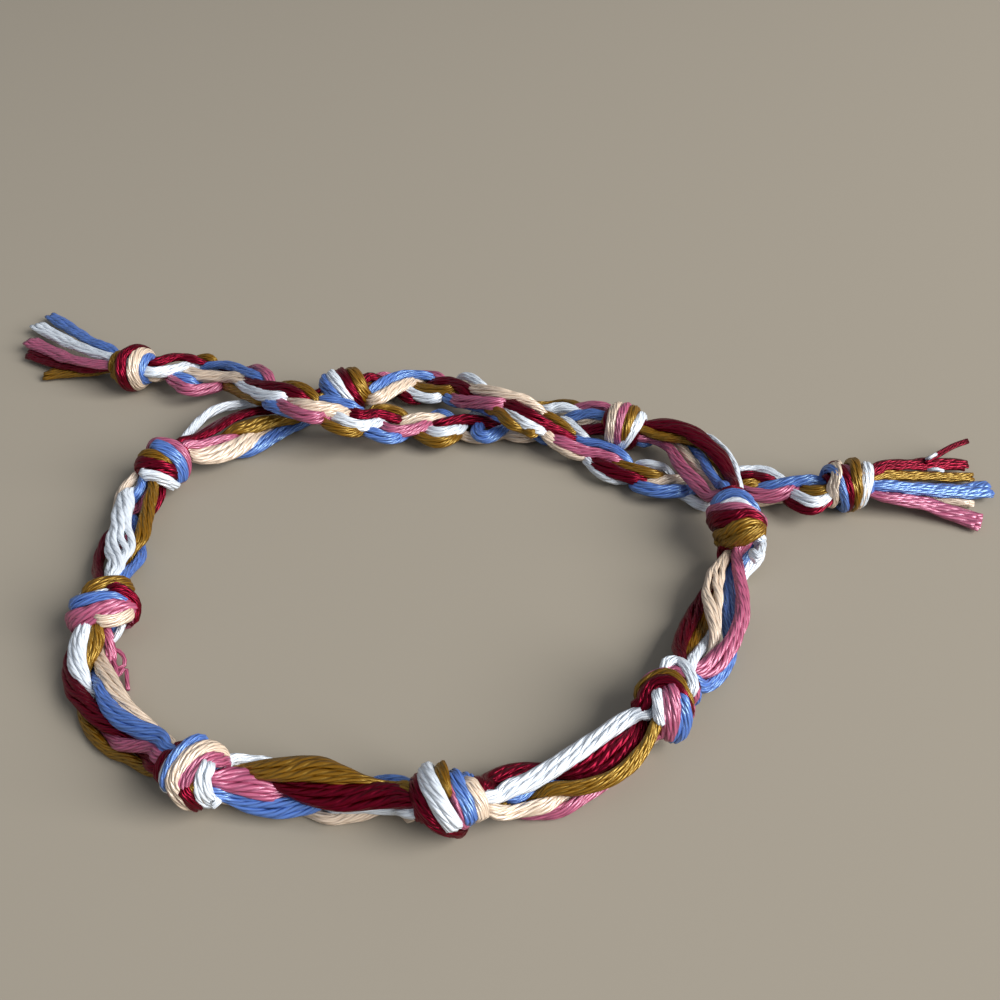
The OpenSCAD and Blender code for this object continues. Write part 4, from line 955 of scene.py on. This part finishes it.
def wrap_line(node, path, lift):
    """A band's middle line and its normals: round the knot, with both ends dived into it."""
    heading, length, width, height = KNOTS[node]
    turn, along = path[:, 0], np.clip(path[:, 1], -length / 2, length / 2)
    round_gone = np.concatenate([[0], np.cumsum(np.abs(np.diff(turn)))])
    edge = np.minimum(round_gone, round_gone[-1] - round_gone)
    rise = np.clip(edge / WRAP_DIVE, 0, 1)
    rise = WRAP_DEPTH + (1 - WRAP_DEPTH) * rise * rise * (3 - 2 * rise)
    share = barrel_share(along, length)
    out = (width / 2 * share - WRAP_T / 2 + lift) * rise
    top = (height / 2 * share - WRAP_T / 2 + lift) * rise
    angle = np.radians(turn)
    line = (knot_middle(node) + ahead(heading) * along[:, None]
            + outward(heading) * (out * np.cos(angle))[:, None] + UP * (top * np.sin(angle))[:, None])
    slope = (1 - FACE_SHARE**2) * along / (length / 2) ** 2 / share * width / 2
    normal = (ahead(heading) * slope[:, None] + outward(heading) * np.cos(angle)[:, None]
              + UP * np.sin(angle)[:, None])
    line[:, 2] = np.maximum(line[:, 2], WRAP_T / 2)
    return line, normal


def lay_band(skein, rng, node, colour, width, lift, path):
    """Lays one band of a knot."""
    line, normal = wrap_line(node, path, lift)
    table = evened(np.column_stack([line, normal]), PLY_STEP)
    wide = np.full(len(table), width)
    lay_strand(skein, rng, colour, table[:, :3], table[:, 3:], wide, WRAP_T, WRAP_PLY_D)


def under_bands(skein, node, rng):
    """Lays the bands under those that show, from one end of a knot to the other."""
    reach = KNOTS[node][1] - 2 * UNDER_INSET
    count = int(round(reach / UNDER_GAP)) + 1
    turns = np.arange(0, UNDER_TURN, WRAP_STEP)
    for k, along in enumerate(np.linspace(-reach / 2, reach / 2, count)):
        start = rng.uniform(0, 360)
        path = np.stack([start + turns, np.full(len(turns), along)], 1)
        lay_band(skein, rng, node, UNDER_COLOURS[k % len(UNDER_COLOURS)], UNDER_W, UNDER_LIFT, path)


def bit_line(node, places, lift):
    """A short strand's middle line and its normals: over the knot, with both ends sunk in it."""
    heading, length, width, height = KNOTS[node]
    heart = knot_middle(node)
    points = []
    for u, v in places:
        turn, along = on_knot(node, u, v)
        angle, share = math.radians(turn), barrel_share(along, length)
        out = (width / 2 * share - WRAP_T / 2 + lift) * math.cos(angle)
        top = (height / 2 * share - WRAP_T / 2 + lift) * math.sin(angle)
        points.append(heart + ahead(heading) * along + outward(heading) * out + UP * top)
    ends = [end + (end - near) * BIT_GO_ON + unit(heart - end) * BIT_SINK
            for end, near in ((points[0], points[1]), (points[-1], points[-2]))]
    line = evened(curve_through([ends[0], *points, ends[1]]), PLY_STEP)
    line[:, 2] = np.maximum(line[:, 2], WRAP_T / 2)
    return line, line - heart


def lay_bit(skein, rng, node, colour, width, lift, places):
    """Lays one short strand on a knot."""
    line, normal = bit_line(node, places, lift)
    taper = np.sqrt(np.sin(np.pi * np.linspace(0, 1, len(line))))
    wide = width * (BIT_TAPER + (1 - BIT_TAPER) * taper)
    lay_strand(skein, rng, colour, line, normal, wide, WRAP_T, WRAP_PLY_D)


def seats_of(node):
    """Each colour's seats at the two faces of a knot, from the sections that meet there."""
    number = node.rsplit("_", 1)[-1]
    before = SECTIONS.get(f"strands_{int(number) - 1}") if number.isdigit() else None
    after = SECTIONS.get(f"strands_{number}") or before
    before = before or after
    if after is None:
        return {colour: (seat, seat) for seat, colour in enumerate(COLOURS)}
    seats_in = {row[0]: row[3] for row in before}
    seats_out = {row[0]: row[2] for row in after}
    return {colour: (seats_in[colour], seats_out[colour]) for colour in COLOURS}


def knot_core(skein, node, rng):
    """Lays the strands inside a knot, from their seats at one face to those at the other."""
    inset = ahead(KNOTS[node][0]) * CORE_INSET
    for colour, (seat_in, seat_out) in seats_of(node).items():
        a = seat_point(node, -1, seat_in) + inset
        b = seat_point(node, 1, seat_out) - inset
        line = evened(np.array([a, b]), PLY_STEP)
        normal = np.tile(UP, (len(line), 1))
        lay_strand(skein, rng, colour, line, normal, np.full(len(line), CORE_W), STRAND_T)


def knot(node, rng):
    """The piece for one knot."""
    skein = Skein()
    knot_core(skein, node, rng)
    under_bands(skein, node, rng)
    for colour, width, lift, turn_total, *places in WRAPS[node]:
        path = ring_on([on_knot(node, *place) for place in places], turn_total)
        lay_band(skein, rng, node, colour, width, lift, path)
    for colour, width, lift, *places in BITS.get(node, ()):
        lay_bit(skein, rng, node, colour, width, lift, places)
    return skein.make(node)


def settled(lines, gap, floor):
    """Strands pushed apart until their middle lines keep a gap, with their ends held."""
    lines = np.array(lines)
    aim = lines.copy()
    hold = np.sin(np.pi * np.linspace(0, 1, lines.shape[1]))[:, None] ** 0.5
    for _ in range(SETTLE_ROUNDS):
        push = np.zeros_like(lines)
        for i, j in itertools.combinations(range(len(lines)), 2):
            apart = lines[i][:, None] - lines[j][None]
            away = np.linalg.norm(apart, axis=2)
            for a, b, nearest, sign in ((i, j, away.argmin(1), 1), (j, i, away.argmin(0), -1)):
                own = np.arange(len(nearest))
                pick = (own, nearest) if sign == 1 else (nearest, own)
                short = np.maximum(gap - away[pick], 0)[:, None]
                way = sign * apart[pick] / np.maximum(away[pick], 1e-6)[:, None]
                push[a] += way * short / PUSH_PARTS
        lines += hold * (push + PULL_BACK * (aim - lines))
        bend = lines[:, :-2] + lines[:, 2:] - 2 * lines[:, 1:-1]
        lines[:, 1:-1] += hold[1:-1] * SMOOTHING * bend
        lines[..., 2] = np.maximum(lines[..., 2], floor)
    return lines


def section(node, a, b, rng):
    """The piece for one section of loose strands."""
    t = np.linspace(0, 1, SECTION_POINTS)
    lines = []
    for colour, usual, seat_a, seat_b, *places in SECTIONS[node]:
        points = [[*seat_point(a, 1, seat_a), TIGHT_W]]
        for u, v, height, *width in places:
            points.append([*seen(u, v, height), *(width or [usual])])
        points.append([*seat_point(b, -1, seat_b), TIGHT_W])
        smooth = curve_through(points)
        gone = gone_along(smooth)
        lines.append(np.stack([np.interp(t * gone[-1], gone, smooth[:, c]) for c in range(4)], 1))
    widths = [line[:, 3] for line in lines]
    lines = settled([line[:, :3] for line in lines], SECTION_GAP, STRAND_T / 2)
    heart = lines.mean(0)
    into_a = -ahead(KNOTS[a][0]) * TUCK
    into_b = ahead(KNOTS[b][0]) * TUCK
    skein = Skein()
    for line, wide, (colour, *rest) in zip(lines, widths, SECTIONS[node]):
        normal = (line - heart) * SIDE_LEAN + UP
        full = np.vstack([line[0] + into_a, line, line[-1] + into_b])
        normal = np.vstack([normal[0], normal, normal[-1]])
        wide = np.concatenate([[TIGHT_W], wide, [TIGHT_W]])
        table = evened(np.column_stack([full, normal, wide]), PLY_STEP)
        lay_strand(skein, rng, colour, table[:, :3], table[:, 3:6], table[:, 6], STRAND_T,
                   partings=PARTINGS.get((node, colour), ()))
    loose_plies(skein, node, rng)
    return skein.make(node)


def braid(node, left, right, rng):
    """The piece for one braided tie, between a face of the knot at its left and one at its right."""
    points = [knot_face(*left)] + [np.array(row, float) for row in TIE_ROUTES[node]]
    heart = curve_through(points + [knot_face(*right)])
    columns = np.array([across_picture(point) for point in heart])
    skein = Skein()
    for colour, width, *places in TRACKS[node]:
        rows = []
        for u, v, lift in places:
            height = np.interp(u, columns, heart[:, 2]) + lift
            rows.append([*seen(u, v, max(height, TIE_STRAND_T / 2)), lift])
        rows.insert(0, [*tucked(*left, np.array(rows[0][:3])), 0.0])
        rows.append([*tucked(*right, np.array(rows[-1][:3])), 0.0])
        table = evened(curve_through(rows), TIE_STEP)
        line = table[:, :3]
        line[:, 2] = np.maximum(line[:, 2], TIE_STRAND_T / 2)
        middle = np.stack([np.interp(line[:, 0], heart[:, 0], heart[:, c]) for c in range(3)], 1)
        ride = np.clip((table[:, 3] - RIDE_LOW) / RIDE_SPAN, 0, 1)
        wide = width * (TIE_NARROW + (1 - TIE_NARROW) * ride)
        normal = (line - middle) * TIE_TILT + UP
        lay_strand(skein, rng, colour, line, normal, wide, TIE_STRAND_T)
    return skein.make(node)


def lay_lock(skein, rng, colour, line, tip_w):
    """Lays a lock of cut thread that widens towards its tip, with its plies cut unevenly."""
    share = np.linspace(0, 1, len(line))
    width = LOCK_NECK_W + (tip_w - LOCK_NECK_W) * share
    normal = np.tile(UP, (len(line), 1))
    side = unit(np.cross(unit(np.gradient(line, axis=0)), normal))
    ply_w = ply_width(width, PLY_D)
    for k in range(PLIES):
        turn = 2 * np.pi * (k + 0.5) / PLIES + rng.uniform(-LOCK_TURN, LOCK_TURN)
        across = (width - ply_w) / 2 * math.cos(turn)
        high = (LOCK_T - PLY_D) / 2 * math.sin(turn)
        own = line + side * across[:, None] + UP * high
        own = own + wander(len(line), rng, LOCK_WANDER)
        cut = len(own) - int(rng.uniform(0, LOCK_UNEVEN) / PLY_STEP)
        own = own[:cut]
        own[:, 2] = np.maximum(own[:, 2], PLY_D / 2)
        skein.tube(own, normal[:cut], PLY_D, ply_w[:cut] / PLY_D, colour, rng)


def tassel(node, end_knot, locks, rng):
    """The piece for one tassel."""
    skein = Skein()
    for colour, tip_w, *places in locks:
        points = [seen(*place) for place in places]
        points.insert(0, tucked(end_knot, 1, points[0]))
        lay_lock(skein, rng, colour, evened(curve_through(points), PLY_STEP), tip_w)
    loose_plies(skein, node, rng)
    return skein.make(node)


def node_of(tree, kind, inputs=(), **properties):
    """A new shader node. Each input named gets a value, or a link from another node's output."""
    made = tree.nodes.new(kind)
    for key, value in properties.items():
        setattr(made, key, value)
    for key, value in dict(inputs).items():
        if isinstance(value, bpy.types.NodeSocket):
            tree.links.new(value, made.inputs[key])
        else:
            made.inputs[key].default_value = value
    return made


def worked_out(tree, operation, *terms):
    """What a maths node makes of numbers and other nodes' outputs."""
    return node_of(tree, "ShaderNodeMath", enumerate(terms), operation=operation).outputs[0]


def noise(tree, place, scale, detail=2.0):
    """Noise along and round a ply, at a scale for each."""
    mapped = node_of(tree, "ShaderNodeMapping", {"Vector": place, "Scale": scale})
    inputs = {"Vector": mapped.outputs[0], "Scale": 1.0, "Detail": detail}
    return node_of(tree, "ShaderNodeTexNoise", inputs).outputs["Fac"]


def mixed(tree, share, a, b):
    """A mix of two colours."""
    inputs = {"Factor": share, "A": a, "B": b}
    return node_of(tree, "ShaderNodeMix", inputs, data_type="RGBA").outputs["Result"]


def floss_material(colour):
    """Soft cotton thread: twisted ridges, painted groove shade, and slow changes of tone along it."""
    # The thread's own colour, a darker copy of it painted into the grooves as shade, and its glint tint
    lit, painted_groove_shade, glint = ((*rgb, 1) for rgb in FLOSS[colour])
    material = bpy.data.materials.new(colour + "_floss")
    material.use_nodes = True
    tree = material.node_tree
    tree.nodes.clear()
    place = node_of(tree, "ShaderNodeUVMap", uv_map="Thread").outputs[0]
    split = node_of(tree, "ShaderNodeSeparateXYZ", {0: place})
    along = worked_out(tree, "DIVIDE", split.outputs["X"], TWIST_PITCH)
    twist = worked_out(tree, "MULTIPLY_ADD", split.outputs["Y"], RIDGES, along)
    ridge = worked_out(tree, "PINGPONG", twist, HALF_RIDGE)
    height = node_of(tree, "ShaderNodeMapRange", {0: ridge, "From Max": GROOVE_RISE},
                     interpolation_type="SMOOTHSTEP").outputs[0]
    fibre = noise(tree, place, FIBRE_SCALE, FIBRE_DETAIL)
    tone = noise(tree, place, TONE_SCALE)

    # Shade painted into the grooves: the darker copy where the ridges sink, evened out part way
    groove = mixed(tree, height, painted_groove_shade, lit)
    even = mixed(tree, EVENED, groove, lit)
    value = worked_out(tree, "MULTIPLY_ADD", tone, TONE_RANGE, TONE_LEAST)
    grain = worked_out(tree, "MULTIPLY_ADD", fibre, FIBRE_TONE, value)
    shade = node_of(tree, "ShaderNodeHueSaturation", {"Color": even, "Value": grain})
    fuzz = worked_out(tree, "MULTIPLY_ADD", fibre, FIBRE_HEIGHT, height)
    bump = node_of(tree, "ShaderNodeBump",
                   {"Distance": GROOVE_DEPTH * MM, "Strength": 1.0, "Height": fuzz})
    rough = worked_out(tree, "MULTIPLY_ADD", fibre, ROUGH_RANGE, ROUGH_LEAST)

    shader = node_of(tree, "ShaderNodeBsdfPrincipled")
    shader.inputs["IOR"].default_value = GLINT_IOR
    shader.inputs["Specular IOR Level"].default_value = GLINT_LEVEL
    shader.inputs["Specular Tint"].default_value = glint
    tree.links.new(shade.outputs[0], shader.inputs["Base Color"])
    tree.links.new(rough, shader.inputs["Roughness"])
    tree.links.new(bump.outputs[0], shader.inputs["Normal"])
    node_of(tree, "ShaderNodeOutputMaterial", {0: shader.outputs[0]})
    return material


def add_camera():
    """The camera, at the photograph's height and angle."""
    data = bpy.data.cameras.new("camera")
    data.sensor_width = SENSOR
    data.lens = SENSOR * FOCAL_SHARE
    data.clip_start = CLIP_START * MM
    camera = bpy.data.objects.new("camera", data)
    camera.location = (EYE - ORIGIN) * MM
    camera.rotation_euler = (math.radians(90 - PITCH_DOWN), 0, 0)
    bpy.context.scene.collection.objects.link(camera)
    bpy.context.scene.camera = camera


def add_floor():
    """A plain pale floor."""
    mesh = bpy.data.meshes.new("floor")
    h = FLOOR_HALF * MM
    mesh.from_pydata([(-h, -h, 0), (h, -h, 0), (h, h, 0), (-h, h, 0)], [], [(0, 1, 2, 3)])
    material = bpy.data.materials.new("floor")
    material.use_nodes = True
    shader = material.node_tree.nodes["Principled BSDF"]
    shader.inputs["Base Color"].default_value = (*FLOOR_COLOUR, 1)
    shader.inputs["Roughness"].default_value = 1.0
    shader.inputs["Specular IOR Level"].default_value = 0.0
    mesh.materials.append(material)
    floor = bpy.data.objects.new("floor", mesh)
    bpy.context.scene.collection.objects.link(floor)


def add_light(name, place, side, power, colour):
    """A square soft light that faces the middle of the loop."""
    data = bpy.data.lights.new(name, "AREA")
    data.size = side * MM
    data.energy = power
    data.color = colour
    light = bpy.data.objects.new(name, data)
    at = np.array(place, float)
    light.location = at * MM
    light.rotation_euler = Vector((-at).tolist()).to_track_quat("-Z", "Y").to_euler()
    bpy.context.scene.collection.objects.link(light)


def add_world():
    """Weak even light from all round, with colours shown as they are."""
    world = bpy.data.worlds.new("soft")
    world.use_nodes = True
    background = world.node_tree.nodes["Background"]
    background.inputs[0].default_value = (*WORLD_COLOUR, 1)
    background.inputs[1].default_value = WORLD_STRENGTH
    bpy.context.scene.world = world
    bpy.context.scene.view_settings.view_transform = "Standard"


MATERIALS = {colour: floss_material(colour) for colour in COLOURS}
add_camera()
add_floor()
for light in LIGHTS:
    add_light(*light)
add_world()

rng = np.random.default_rng(SEED)
pieces = {node: knot(node, rng) for node in KNOTS}
for number, node in enumerate(SECTIONS, 1):
    pieces[node] = section(node, f"knot_{number}", f"knot_{number + 1}", rng)
pieces["braid_left"] = braid("braid_left", ("end_knot_left", -1), ("knot_8", 1), rng)
pieces["braid_right"] = braid("braid_right", ("knot_1", -1), ("end_knot_right", -1), rng)
pieces["tassel_left"] = tassel("tassel_left", "end_knot_left", LEFT_LOCKS, rng)
pieces["tassel_right"] = tassel("tassel_right", "end_knot_right", RIGHT_LOCKS, rng)

triangles = []
for node, piece in pieces.items():
    piece.name = node + "_thread"
    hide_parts(node)
    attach(piece, "root")
    triangles.append(sum(len(face.vertices) - 2 for face in piece.data.polygons))
print("triangles", sum(triangles), "largest piece", max(triangles))
